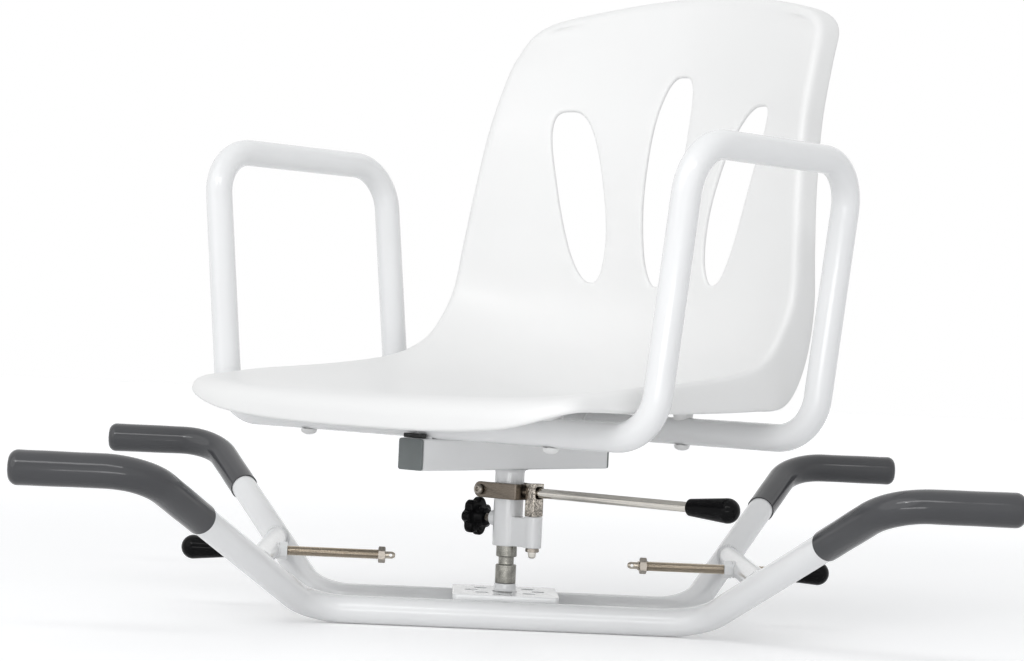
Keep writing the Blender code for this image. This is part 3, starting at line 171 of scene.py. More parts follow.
LEVER_HEIGHT = 0.1077
FORK_DEPTH = 0.0128
FORK_THICKNESS = 0.0025
FORK_INNER = 0.01275
FORK_INNER_BEND = 0.0014
FORK_OUTER_BEND = 0.0035
FORK_WEB_START = 0.017
PIVOT_OFFSET = 0.0185
PIVOT_RADIUS = 0.003
PIVOT_HEAD_RADIUS = 0.00425
PIVOT_HEAD_HEIGHT = 0.0035
PIVOT_HEAD_CHAMFER = 0.0012
PIVOT_HOLLOW_RADIUS = 0.0017
PIVOT_HOLLOW_DEPTH = 0.002
PIVOT_NUT_WIDTH = 0.010
PIVOT_NUT_THICKNESS = 0.005
LUG_RADIUS = 0.0055
LEVER_KNOB_START = 0.182

STUD_RADIUS = 0.003
STUD_POINT_RADIUS = 0.002
STUD_POINT_LENGTH = 0.005
STUD_IN_STAR = 0.0051
CLAMP_BOSS_RADIUS = 0.00625
CLAMP_BOSS_END = 0.0165
STAR_RADIUS = 0.0159
STAR_LOBES = 7
STAR_LOBE_HEIGHT = 0.0017
STAR_THICKNESS = 0.0085
STAR_RIM = 0.0022
STAR_HUB_RADIUS = 0.0075
STAR_HUB_LENGTH = 0.0072
STAR_HUB_FLARE = 0.0012
STAR_HUB_CHAMFER = 0.0008
STAR_DISC_START = 0.0297

BEAM_WIDTH = 0.025
BEAM_WALL = 0.002
BEAM_CORNER_RADIUS = 0.002
BEAM_BOTTOM = 0.1251
BEAM_FRONT = 0.118
BEAM_REAR = 0.110
CAP_THICKNESS = 0.0025
CAP_PLUG_LENGTH = 0.010
PAD_DEPTH = 0.0048

LOOP_FRONT_TOP = 0.106
LOOP_REAR_TOP = -0.100
LOOP_FRONT_BOTTOM = 0.104
LOOP_REAR_BOTTOM = -0.102
LOOP_TOP_SPREAD = 0.250
LOOP_BOTTOM_SPREAD = 0.223
LOOP_TOP_HEIGHT = 0.3791
LOOP_BEND_RADIUS = 0.038
SEAM_RADIUS = 0.0011
RUN_WELD_RADIUS = 0.0014
SPACER_TOP_RADIUS = 0.0100
SPACER_FOOT_RADIUS = 0.0075
SPACER_EASE = 0.0012
SCREW_RADIUS = 0.003
SCREW_HEAD_RADIUS = 0.0064
SCREW_BRIM = 0.0012
FRONT_SCREW_SPREAD = 0.128
REAR_SCREW_SPREAD = 0.096
RUN_WELD_OFFSET = 0.0045

# The shell's lines: (forwards, height above the beam)
SHELL_THICKNESS = 0.0045
SHELL_CENTRE_LINE = [
    (0.160, 0.0350), (0.100, 0.0315), (0.020, 0.0290), (-0.060, 0.0304), (-0.112, 0.0375), (-0.156, 0.0660),
    (-0.177, 0.108), (-0.180, 0.160), (-0.184, 0.214), (-0.193, 0.267), (-0.208, 0.317), (-0.226, 0.379),
]
SHELL_RIM_LINE = [
    (0.1555, 0.0418), (0.100, 0.0485), (0.020, 0.0550), (-0.045, 0.0630), (-0.080, 0.0740), (-0.101, 0.0900),
    (-0.121, 0.122), (-0.1285, 0.165), (-0.135, 0.212), (-0.146, 0.270), (-0.164, 0.320), (-0.176, 0.341),
]
SHELL_EDGE_LINE = [
    (0.1555, 0.0310), (0.100, 0.0300), (0.020, 0.0300), (-0.060, 0.0324), (-0.107, 0.0370), (-0.135, 0.0660),
    (-0.149, 0.112), (-0.152, 0.162), (-0.158, 0.212), (-0.170, 0.270), (-0.188, 0.320), (-0.200, 0.341),
]
SHELL_HALF_WIDTHS = [0.198, 0.1965, 0.194, 0.192, 0.189, 0.186, 0.184, 0.1805, 0.1755, 0.170, 0.1655, 0.1615]
SHELL_FLARE = 0.005
SHELL_RIM_ROUND = 0.009
SHELL_FRONT_ROUND = 0.0154
LIP_FRONT = 0.186
LIP_BOTTOM = 0.0087
LIP_CORNER_RISE = 0.0147
CREASE_RISE = 0.005
FRONT_CORNER_RADIUS = 0.046
BACK_TOP_CAMBER = 1.05
BACK_TOP_ROLL = 0.027
TOP_CORNER_RADIUS = 0.028
SIDE_SLOT = ((0.066, 0.133), (0.1025, 0.285), 0.0215)
MIDDLE_SLOT = ((0.0, 0.131), (0.0, 0.315), 0.0195)
SLOT_BOW = 0.004
SLOT_WIDEST = 0.55
SLOT_FOOT_POWER = 2.2
SLOT_TOP_POWER = 3.0
SLOT_SPACING = 0.0032
SLOT_REGION = ((-0.14, 0.14), (0.12, 0.33))

ROWS_PER_STATION = 8
CORNER_ROWS = 10
COLUMNS = 30
BEND_STEPS = 6
WALL_STEPS = 4

ROUND = 64
SMALLEST = 1e-7
THROUGH = 0.05
ENDS = (("front", -1), ("rear", 1))
HANDS = (("left", -1), ("right", 1))


def heights(node):
    """A node's lowest and highest height."""
    low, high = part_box(node)
    return low.z, high.z


def shift(x=0.0, y=0.0, z=0.0):
    return Matrix.Translation((x, y, z))


def rotation(degrees, axis):
    return Matrix.Rotation(math.radians(degrees), 4, axis)


# Derived sizes
PLATE_BOTTOM, PLATE_TOP = heights("pivot_plate")
COLLAR_TOP = heights("spindle_collar")[1]
SPINDLE_TOP = heights("spindle")[1]
GROOVE_CENTRE = PLATE_TOP + GROOVE_HEIGHT
CLAMP_HEIGHT = GROOVE_CENTRE + SEAT_DROP
SLEEVE_BOTTOM = heights("swivel_sleeve")[0]
BEAM_TOP = BEAM_BOTTOM + BEAM_WIDTH
LOOP_BOTTOM_HEIGHT = BEAM_TOP + FIT_GAP + TUBE_RADIUS

SEAT = rotation(180 + SEAT_HEADING, "Z")
LEVER = SEAT @ shift(0, -PIVOT_OFFSET, LEVER_HEIGHT)
PLUNGER = SEAT @ shift(0, BARREL_OFFSET)
CLAMP = SEAT @ shift(z=CLAMP_HEIGHT) @ rotation(90, "X")
ALONG_X = rotation(90, "Y")
ALONG_Y = rotation(-90, "X")


# Materials


def set_inputs(tree, node, inputs):
    """Sets each input to a value or to another node's output."""
    for name, value in inputs.items():
        if isinstance(value, bpy.types.NodeSocket):
            tree.links.new(value, node.inputs[name])
        else:
            node.inputs[name].default_value = value


def add_node(tree, kind, inputs, **settings):
    node = tree.nodes.new("ShaderNode" + kind)
    for name, value in settings.items():
        setattr(node, name, value)
    set_inputs(tree, node, inputs)
    return node


def add_material(name, colour, roughness, metallic=0.0, coat=0.0, mottle=(30, 0.03), grain=(900, 0.05),
                 stretch=(1, 1, 1), wave=None, specular=0.5):
    """A shader with mottled colour, uneven gloss and a fine relief, and a long soft wave where one is given.

    Mottle, grain and wave each have a scale and a strength. Stretch squeezes the grain along each axis.
    """
    material = bpy.data.materials.new(name)
    material.use_nodes = True
    tree = material.node_tree
    spot = tree.nodes.new("ShaderNodeTexCoord").outputs["Object"]

    def noise(scale, detail, squeeze=(1, 1, 1)):
        place = add_node(tree, "Mapping", {"Vector": spot, "Scale": squeeze}).outputs["Vector"]
        return add_node(tree, "TexNoise", {"Vector": place, "Scale": scale, "Detail": detail}).outputs["Fac"]

    def spread(fac, low, high):
        span = {"Value": fac, "From Min": 0.3, "From Max": 0.7, "To Min": low, "To Max": high}
        return add_node(tree, "MapRange", span).outputs["Result"]

    fine = noise(grain[0], 4, stretch)
    dark, pale = [(*[min(part * share, 1) for part in colour], 1) for share in (1 - mottle[1], 1 + mottle[1])]
    blotches = {"Factor": spread(noise(mottle[0], 3), 0, 1), "A": dark, "B": pale}
    relief = {"Height": fine, "Strength": grain[1], "Distance": 0.0002}
    if wave:
        slow = {"Height": noise(wave[0], 2), "Strength": wave[1], "Distance": 0.001}
        relief["Normal"] = add_node(tree, "Bump", slow).outputs["Normal"]
    set_inputs(tree, tree.nodes["Principled BSDF"], {
        "Base Color": add_node(tree, "Mix", blotches, data_type="RGBA").outputs["Result"],
        "Roughness": spread(fine, roughness * 0.85, roughness * 1.15),
        "Normal": add_node(tree, "Bump", relief).outputs["Normal"],
        "Metallic": metallic,
        "Coat Weight": coat,
        "Coat Roughness": 0.08,
        "Specular IOR Level": specular,
    })
    return material


PAINT = add_material("white_paint", (0.80, 0.805, 0.81), 0.22, coat=0.4, mottle=(18, 0.012),
                     grain=(420, 0.05), wave=(170, 0.05))
SHELL = add_material("white_plastic", (0.82, 0.82, 0.815), 0.36, mottle=(9, 0.01), grain=(1500, 0.06),
                     wave=(28, 0.05))
GRIP = add_material("grip_plastic", (0.055, 0.056, 0.060), 0.11, mottle=(25, 0.05), grain=(500, 0.03),
                    wave=(60, 0.03), specular=0.36)
BLACK = add_material("black_plastic", (0.004, 0.004, 0.0045), 0.08, mottle=(40, 0.1), grain=(700, 0.03),
                     specular=0.08)
RUBBER = add_material("black_rubber", (0.018, 0.018, 0.018), 0.7, mottle=(60, 0.15), grain=(1500, 0.3))
GREY = add_material("grey_plastic", (0.155, 0.172, 0.172), 0.42, mottle=(60, 0.05), grain=(1600, 0.15))
NYLON = add_material("nylon", (0.78, 0.77, 0.72), 0.4, mottle=(60, 0.02), grain=(150, 0.1),
                     stretch=(1, 1, 30))

TURNED = {"grain": (90, 0.35), "stretch": (1, 1, 60)}
STEEL = add_material("steel", (0.33, 0.30, 0.265), 0.3, 1.0, mottle=(120, 0.12), **TURNED)
DULL = add_material("dull_steel", (0.265, 0.26, 0.235), 0.24, 1.0, mottle=(150, 0.3), **TURNED)
BRIGHT = add_material("bright_steel", (0.68, 0.65, 0.60), 0.14, 1.0, mottle=(80, 0.05), grain=(500, 0.12),
                      stretch=(1, 1, 0.06))
ROD = add_material("rod_steel", (0.52, 0.47, 0.40), 0.24, 1.0, mottle=(60, 0.06), grain=(300, 0.05))
# Knurled steel: the bump is its knurled relief, and the strong fine mottle in its colour is painted glints,
# bright and dark specks that stand in for the reflections off a knurled face.
KNURL_AND_PAINTED_GLINTS = add_material("knurled_steel_with_painted_glints", (0.36, 0.33, 0.29), 0.2, 1.0, mottle=(700, 0.75), grain=(800, 1.0))
STRAP = add_material("strap_steel", (0.17, 0.145, 0.12), 0.27, 1.0, mottle=(90, 0.12), grain=(60, 0.3),
                     stretch=(60, 1, 60))


# Building blocks: each makes a mesh, and put() makes the piece


def helper(data, at=None, name="helper"):
    obj = bpy.data.objects.new(name, data)
    bpy.context.scene.collection.objects.link(obj)
    if at is not None:
        obj.matrix_world = at
    return obj


def put(node, mesh, material, at=None, sharp=40, extra=None):
    """The piece that stands in for a node, or an extra one that rides with it."""
    mesh.materials.clear()
    mesh.materials.append(material)
    mesh.shade_smooth()
    mesh.set_sharp_from_angle(angle=math.radians(sharp))
    piece = helper(mesh, at, extra or node + "_detailed")
    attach(piece, frame["nodes"][node]["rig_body"])
    if not extra:
        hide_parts(node)
    return piece


def arc(radius, start, end, steps, centre=(0, 0)):
    """Points round an arc, between two angles in degrees."""
    angles = [math.radians(start + (end - start) * step / steps) for step in range(steps + 1)]
    return [(centre[0] + radius * math.cos(angle), centre[1] + radius * math.sin(angle)) for angle in angles]


def circle(radius, steps=ROUND):
    return arc(radius, 0, 360, steps)[:-1]


def past_round(radius, centre=(0, 0), over=1, steps=48):
    """A circle that goes a step or two past its start, so that a weld bead's ends overlap."""
    return arc(radius, 0, 360 * (steps + over) / steps, steps + over, centre)


def rounded_rectangle(width, height, radius, steps=6):
    points = []
    for turn, (side_x, side_y) in enumerate(((1, 1), (-1, 1), (-1, -1), (1, -1))):
        centre = (side_x * (width / 2 - radius), side_y * (height / 2 - radius))
        points += arc(radius, 90 * turn, 90 * turn + 90, steps, centre)
    return points


def both_ways(profile):
    """The upper half of a profile and its mirror image below."""
    return profile + [(radius, -height) for radius, height in reversed(profile)]


def bridge(shape, first, second):
    """Faces between two rings, either of which may be a single point."""
    count = max(len(first), len(second))
    for index in range(count):
        after = (index + 1) % count
        if len(first) == 1:
            corners = (first[0], second[index], second[after])
        elif len(second) == 1:
            corners = (first[index], second[0], first[after])
        else:
            corners = (first[index], second[index], second[after], first[after])
        shape.faces.new(corners)


def mesh_of(shape):
    bmesh.ops.recalc_face_normals(shape, faces=shape.faces)
    mesh = bpy.data.meshes.new("piece")
    shape.to_mesh(mesh)
    shape.free()
    return mesh


def eased(points, radius, closed=False, steps=4):
    """The outline with its corners rounded, each by 45% of its shorter side at most."""
    if not radius:
        return points
    points = [Vector(point) for point in points]
    count = len(points)
    out = []
    for index, point in enumerate(points):
        to_last = points[index - 1] - point
        to_next = points[(index + 1) % count] - point
        reach = min(radius, 0.45 * to_last.length, 0.45 * to_next.length)
        at_end = not closed and index in (0, count - 1)
        if at_end or reach < 1e-9 or to_last.angle(to_next) > math.radians(170):
            out.append(tuple(point))
            continue
        start = point + to_last.normalized() * reach
        end = point + to_next.normalized() * reach
        for step in range(steps + 1):
            share = step / steps
            out.append(tuple((1 - share) ** 2 * start + 2 * share * (1 - share) * point + share**2 * end))
    return out


def turned(profile, ease=0.0002, steps=ROUND, closed=False):
    """(radius, height) pairs turned about Z."""
    shape = bmesh.new()
    rings = []
    for radius, height in eased(profile, ease, closed):
        around = circle(radius, steps) if radius > SMALLEST else [(0, 0)]
        rings.append([shape.verts.new((x, y, height)) for x, y in around])
    if closed:
        rings.append(rings[0])
    for first, second in zip(rings[:-1], rings[1:]):
        bridge(shape, first, second)
    return mesh_of(shape)


def swept(path, rings=None, radius=0.0, sides=40):
    """A skin along a path. rings are (path index, radius) pairs in the order that the skin takes them."""
    path = [Vector(point) for point in path]
    rings = rings or [(index, radius) for index in range(len(path))]
    steps = [(after - before).normalized() for before, after in zip(path[:-1], path[1:])]
    tangents = [(a + b).normalized() for a, b in zip(steps[:-1], steps[1:])]
    tangents = [steps[0], *tangents, steps[-1]]
    side = tangents[0].orthogonal().normalized()
    frames = []
    for index, tangent in enumerate(tangents):
        if index:
            side = tangents[index - 1].rotation_difference(tangent) @ side
        side = (side - tangent * side.dot(tangent)).normalized()
        frames.append((side.copy(), tangent.cross(side)))
    shape = bmesh.new()
    made = []
    for index, size in rings:
        first, second = frames[index]
        around = circle(size, sides) if size > SMALLEST else [(0, 0)]
        made.append([shape.verts.new(path[index] + first * x + second * y) for x, y in around])
    for first, second in zip(made[:-1], made[1:]):
        bridge(shape, first, second)
    for ring in (made[0], made[-1]):
        if len(ring) > 1:
            shape.faces.new(ring)
    return mesh_of(shape)


def slab(outline, thickness):
    """An outline in XY with its thickness along Z, about the middle."""
    shape = bmesh.new()
    low, high = [[shape.verts.new((x, y, side * thickness / 2)) for x, y in outline] for side in (-1, 1)]
    bridge(shape, low, high)
    shape.faces.new(low)
    shape.faces.new(high)
    return mesh_of(shape)


def bar(radius, length, steps=ROUND):
    """A plain cylinder about the middle, along Z."""
    return slab(circle(radius, steps), length)


def shaped(mesh, *modifiers, tools=()):
    """What modifiers, each given as its kind and settings, make of a mesh. Their tools go."""
    host = helper(mesh)
    for kind, settings in modifiers:
        modifier = host.modifiers.new("shape", kind)
        for name, value in settings.items():
            setattr(modifier, name, value)
    bpy.context.view_layer.update()
    made = bpy.data.meshes.new_from_object(host.evaluated_get(bpy.context.evaluated_depsgraph_get()))
    for obj in (host, *tools):
        bpy.data.objects.remove(obj)
    return made


def combined(mesh, operation, *others):
    """The mesh cut by, joined to or kept inside others, given as (mesh, matrix) pairs."""
    tools = [helper(other, at) for other, at in others]
    cuts = [("BOOLEAN", {"operation": operation, "object": tool}) for tool in tools]
    return shaped(mesh, *cuts, tools=tools)


def bevelled(mesh, width, angle=35, segments=3):
    limit = {"limit_method": "ANGLE", "angle_limit": math.radians(angle)}
    return shaped(mesh, ("BEVEL", {"width": width, "segments": segments, **limit}))


def melted(mesh, voxel, rounds):
    """One skin over joined shapes, with the soft inner corners that weld and paint leave."""
    skin = ("REMESH", {"mode": "VOXEL", "voxel_size": voxel})
    return shaped(mesh, skin, ("SMOOTH", {"factor": 0.5, "iterations": rounds}))


def hexagon_bar(across_flats, thickness, bore):
    """A nut with chamfered corners and a countersunk bore."""
    flat = across_flats / 2
    corner = flat / math.cos(math.radians(30))
    half = thickness / 2
    chamfer = (corner - flat) * 0.62
    lens = [(0, half), (flat * 0.97, half), (corner + 0.0002, half - chamfer)]
    sink = [(0, half + 0.001), (bore + 0.0014, half + 0.001), (bore, half - 0.0004)]
    body = combined(slab(circle(corner, 6), thickness), "INTERSECT", (turned(both_ways(lens), 0), Matrix()))
    return combined(body, "DIFFERENCE", (turned(both_ways(sink), 0), Matrix()))


def bent_path(corners, radius, steps=16):
    """The corners' path with each inner corner replaced by an arc."""
    corners = [Vector(corner) for corner in corners]
    path = [corners[0]]
    for before, corner, after in zip(corners[:-2], corners[1:-1], corners[2:]):
        towards = (before - corner).normalized()
        away = (after - corner).normalized()
        half_angle = towards.angle(away) / 2
        centre = corner + (towards + away).normalized() * radius / math.sin(half_angle)
        start = corner + towards * radius / math.tan(half_angle) - centre
        end = corner + away * radius / math.tan(half_angle) - centre
        turn = start.angle(end)
        for step in range(steps + 1):
            share = step / steps
            arm = start * math.sin((1 - share) * turn) + end * math.sin(share * turn)
            path.append(centre + arm / math.sin(turn))
    path.append(corners[-1])
    return path


def divided(path, spacing):
    """The path with points added on its long stretches."""
    out = [path[0]]
    for before, after in zip(path[:-1], path[1:]):
        count = max(1, int((after - before).length / spacing))
        out += [before.lerp(after, step / count) for step in range(1, count + 1)]
    return out


def lengths_along(path):
    """The distance along a path from its start to each of its points."""
    lengths = [0.0]
    for before, after in zip(path[:-1], path[1:]):
        lengths.append(lengths[-1] + (after - before).length)
    return lengths


def weld_bead(path, radius, ripple=0.12, spacing=0.0016):
    """A painted weld: a bead with a ripple for each dab."""
    path = divided([Vector(point) for point in path], spacing / 4)
    last = len(path) - 1
    rings = [(0, 0.0)]
    for index in range(1, last):
        end = min(index, last - index) / 4
        swell = 1 + ripple * math.sin(2 * math.pi * index / 4)
        rings.append((index, radius * swell * math.sqrt(min(end, 1.0))))
    rings.append((last, 0.0))
    return swept(path, rings, sides=16)


def threaded(start, end, major, pitch=ROD_PITCH, per_turn=28):
    """A screw thread along Z as one skin, with plain ends."""
    minor = major - 0.61 * pitch
    wave = ((major, 0.0), (major, 0.12), (minor, 0.5), (minor, 0.62))
    columns = []
    shape = bmesh.new()
    for step, (x, y) in enumerate(circle(1, per_turn)):
        column = []
        for turn in range(-2, int((end - start) / pitch) + 3):
            for radius, share in wave:
                height = start + (turn + share + step / per_turn) * pitch
                if not start + pitch / 2 < height < end - pitch / 2:
                    radius = minor
                column.append(shape.verts.new((radius * x, radius * y, min(max(height, start), end))))
        columns.append(column)
    for step in range(per_turn):
        column, after = columns[step], columns[(step + 1) % per_turn]
        jump = len(wave) if step == per_turn - 1 else 0
        for index in range(len(column) - 1 - jump):
            low, high = index + jump, index + jump + 1
            shape.faces.new((column[low], after[index], after[index + 1], column[high]))
    bmesh.ops.remove_doubles(shape, verts=shape.verts, dist=0.000002)
    bmesh.ops.dissolve_degenerate(shape, edges=shape.edges, dist=0.000002)
    loose = [vertex for vertex in shape.verts if not vertex.link_faces]
    bmesh.ops.delete(shape, geom=loose, context="VERTS")
    bmesh.ops.holes_fill(shape, edges=[edge for edge in shape.edges if len(edge.link_faces) == 1])
    return mesh_of(shape)


def plain_end(start, end, radius, nose, nose_radius, ease):
    """The unthreaded end of a rod, with a short cone at its nose."""
    return turned([(0, end), (radius, end), (radius, start + nose), (nose_radius, start), (0, start)], ease)


def upright(radius, low, high, y=0.0):
    """A bar between two heights, with its place."""
    return bar(radius, high - low), shift(0, y, (low + high) / 2)


def square(width, corner, thickness, steps=6):
    return slab(rounded_rectangle(width, width, corner, steps), thickness)


# Base frame


def corner_points(side_x, side_y):
    bottom = Vector((side_x * RUN_HALF_LENGTH, side_y * RUN_Y, TUBE_RADIUS))
    top = Vector((side_x * ARM_TOP_X, side_y * ARM_TOP_Y, TUBE_RADIUS + ARM_RISE))
    return bottom, top


def base_tube(side_y):
    left_bottom, left_top = corner_points(-1, side_y)
    right_bottom, right_top = corner_points(1, side_y)
    end = BASE_HALF_WIDTH - GRIP_END_WALL - FIT_GAP
    left_end = Vector((-end, left_top.y, left_top.z))
    right_end = Vector((end, right_top.y, right_top.z))
    corners = [left_end, left_top, left_bottom, right_bottom, right_top, right_end]
    return swept(bent_path(corners, BASE_BEND_RADIUS), radius=TUBE_RADIUS - TUBE_INSET, sides=48)


def grip(side_x, side_y):
    """A dipped cover with a domed tip, a little uneven in thickness, thin where the dip ends."""
    bottom, top = corner_points(side_x, side_y)
    end = Vector((side_x * BASE_HALF_WIDTH, top.y, top.z))
    inwards = Vector((-side_x, 0, 0))
    edge = top + (bottom - top).normalized() * GRIP_ON_SLOPE
    dome = 12
    shares = [1 - step / dome for step in range(dome + 1)]
    path = [end + inwards * GRIP_END_ROUND * (1 - share) for share in shares]
    path += divided(bent_path([path[-1], top, edge], BASE_BEND_RADIUS, 20), 0.006)[1:]
    rings = [(0, 0.0)]
    for index, share in enumerate(shares):
        rings.append((index, GRIP_RADIUS - GRIP_END_ROUND * (1 - math.sqrt(1 - share**2))))
    lengths = lengths_along(path)
    thin = TUBE_RADIUS + FIT_GAP + GRIP_EDGE_WALL
    inside = TUBE_RADIUS + 2 * TOUCH
    last = len(path) - 1
    for index in range(dome + 1, last):
        share = (lengths[index] - lengths[dome]) / (lengths[-1] - lengths[dome])
        uneven = math.sin(lengths[index] * GRIP_WAVES + side_x + 2 * side_y) - 1
        rings.append((index, GRIP_RADIUS + (thin - GRIP_RADIUS) * share + GRIP_UNEVEN * uneven))
    rings += [(last, thin - TOUCH), (last, inside)]
    start = next(index for index in range(len(path)) if lengths[index] > GRIP_END_WALL - 0.0005)
    rings += [(index, inside) for index in range(last - 1, start - 1, -1)]
    rings.append((start, 0.0))
    return swept(path, rings, sides=48)


for end, side_y in ENDS:
    put(f"{end}_base_tube", base_tube(side_y), PAINT)
    for hand, side_x in HANDS:
        put(f"{end}_{hand}_grip", grip(side_x, side_y), GRIP, sharp=50)

holes = [(bar(SPIGOT_RADIUS + FIT_GAP, THROUGH), Matrix())]
holes += [(bar(INDEX_HOLE_RADIUS, THROUGH), shift(x, y)) for x, y in circle(BARREL_OFFSET, INDEX_HOLES)]
plate = combined(square(PLATE_WIDTH, PLATE_CORNER_RADIUS, PLATE_THICKNESS), "DIFFERENCE", *holes)
put("pivot_plate", bevelled(plate, PLATE_EDGE), PAINT, shift(z=(PLATE_TOP + PLATE_BOTTOM) / 2))

inner = SPIGOT_RADIUS + FIT_GAP
collar_bottom = PLATE_TOP + FIT_GAP
collar = [(inner, COLLAR_TOP), (COLLAR_RADIUS, COLLAR_TOP), (COLLAR_RADIUS, collar_bottom + COLLAR_FLARE),
          (COLLAR_RADIUS + COLLAR_FLARE, collar_bottom), (inner, collar_bottom)]
put("spindle_collar", turned(collar, COLLAR_EASE, closed=True), PAINT)

shoulder = COLLAR_TOP + FIT_GAP
half = GROOVE_WIDTH / 2
groove = [(SPINDLE_RADIUS, half + GROOVE_CHAMFER), (SPINDLE_RADIUS - GROOVE_CHAMFER, half),
          (GROOVE_RADIUS, half)]
spindle = [(0, SPINDLE_TOP), (SPINDLE_RADIUS - SPINDLE_CHAMFER, SPINDLE_TOP),
           (SPINDLE_RADIUS, SPINDLE_TOP - SPINDLE_CHAMFER)]
spindle += [(radius, GROOVE_CENTRE + height) for radius, height in both_ways(groove)]
spindle += [(SPINDLE_RADIUS, shoulder), (SPIGOT_RADIUS, shoulder), (SPIGOT_RADIUS, PLATE_BOTTOM),
            (0, PLATE_BOTTOM)]
put("spindle", turned(spindle, SMALL_EASE), DULL)

low, high = corner_points(1, 1)
crossing = low.lerp(high, (CROSS_TUBE_X - low.x) / (high.x - low.x))


def cope_curve(side_x, side_y):
    """Where the cross tube's skin meets the slope's, seen once round the cross tube."""
    bottom, top = corner_points(side_x, side_y)
    line = (top - bottom).normalized()
    across = Vector((0, 1, 0))
    points = []
    for x, z in past_round(CROSS_TUBE_RADIUS, (side_x * CROSS_TUBE_X, crossing.z), 2):
        foot = Vector((x, 0, z)) - bottom
        a = 1 - across.dot(line) ** 2
        b = foot.dot(across) - foot.dot(line) * across.dot(line)
        c = foot.dot(foot) - foot.dot(line) ** 2 - TUBE_RADIUS**2
        root = math.sqrt(max(b * b - a * c, 0))
        reach = min(((-b + root) / a, (-b - root) / a), key=abs)
        points.append(foot + bottom + across * reach)
    return points


# The adjusters' buffers and the lever's knob: a domed taper with a bore for its rod
BORE = ROD_RADIUS + THREAD_GAP
KNOB = arc(KNOB_RADIUS, 90, 0, 12, (0, KNOB_LENGTH - KNOB_RADIUS)) + [
    (KNOB_NECK_RADIUS + 0.0004, 0.006), (KNOB_NECK_RADIUS, 0.0010), (KNOB_NECK_RADIUS - 0.0010, 0),
    (BORE, 0), (BORE, KNOB_BORE_DEPTH), (0, KNOB_BORE_DEPTH),
]

for hand, side_x in HANDS:
    node = f"{hand}_cross_tube"
    to_place = shift(side_x * CROSS_TUBE_X, 0, crossing.z) @ ALONG_Y
    tools = [(bar(ROD_RADIUS + FIT_GAP, THROUGH), ALONG_Y.inverted() @ ALONG_X)]
    for end, side_y in ENDS:
        arm = swept(corner_points(side_x, side_y), radius=TUBE_RADIUS + TOUCH, sides=64)
        tools.append((arm, to_place.inverted()))
        bead = weld_bead(cope_curve(side_x, side_y), CROSS_WELD_RADIUS)
        put(node, bead, PAINT, extra=f"{hand}_{end}_cross_tube_weld")
    put(node, combined(bar(CROSS_TUBE_RADIUS, 2 * crossing.y), "DIFFERENCE", *tools), PAINT, to_place)

    node = f"{hand}_adjuster_boss"
    axis = shift(z=crossing.z) @ rotation(90 * side_x, "Y")
    face = CROSS_TUBE_X - CROSS_TUBE_RADIUS
    boss = hexagon_bar(BOSS_WIDTH, BOSS_LENGTH, ROD_RADIUS + FIT_GAP)
    put(node, boss, PAINT, axis @ shift(z=face - BOSS_LENGTH / 2 - FIT_GAP))

    # The weld that fills the saddle between the boss's flat end and the round tube
    saddle = []
    for upwards, sideways in past_round(BOSS_WELD_RING):
        depth = CROSS_TUBE_RADIUS - math.sqrt(CROSS_TUBE_RADIUS**2 - upwards**2)
        saddle.append((upwards, sideways, face + depth - 0.0004))
    put(node, weld_bead(saddle, BOSS_WELD_RADIUS), PAINT, axis, extra=f"{hand}_boss_weld")

    start = ROD_STARTS[hand]
    thread_start = start + ROD_TIP_LENGTH
    nose_radius = ROD_TIP_RADIUS * 0.55
    tip = plain_end(start, thread_start + OVERLAP, ROD_TIP_RADIUS, ROD_TIP_NOSE, nose_radius, ROD_TIP_EASE)
    tip_hole = (bar(ROD_TIP_HOLE / 2, 0.02, 32), shift(z=start + ROD_TIP_HOLE_HEIGHT) @ ALONG_Y)
    tip = combined(tip, "DIFFERENCE", tip_hole)
    rod = threaded(thread_start, BUFFER_START + KNOB_BORE_DEPTH - FIT_GAP, ROD_RADIUS)
    put(f"{hand}_adjuster_rod", combined(rod, "UNION", (tip, Matrix())), ROD, axis, sharp=35)

    node = f"{hand}_adjuster_nut"
    nut_low, nut_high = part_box(node)
    nut_place = axis @ shift(z=(nut_low.x + nut_high.x) / 2 * side_x)
    put(node, hexagon_bar(NUT_WIDTH, NUT_THICKNESS, ROD_RADIUS), STEEL, nut_place)

for hand, side_x in HANDS:
    axis = shift(z=crossing.z) @ rotation(90 * side_x, "Y")
    put(f"{hand}_adjuster_buffer", turned(KNOB, KNOB_EASE), BLACK, axis @ shift(z=BUFFER_START))


# Swivel head


bush_low, bush_high = heights("sleeve_bush")
inner = SPINDLE_RADIUS + RUNNING_GAP
outer = SLEEVE_BORE_RADIUS - RUNNING_GAP
bush = [(inner, bush_high), (outer, bush_high), (outer, bush_low), (inner, bush_low)]
put("sleeve_bush", turned(bush, SMALL_EASE, closed=True), NYLON)

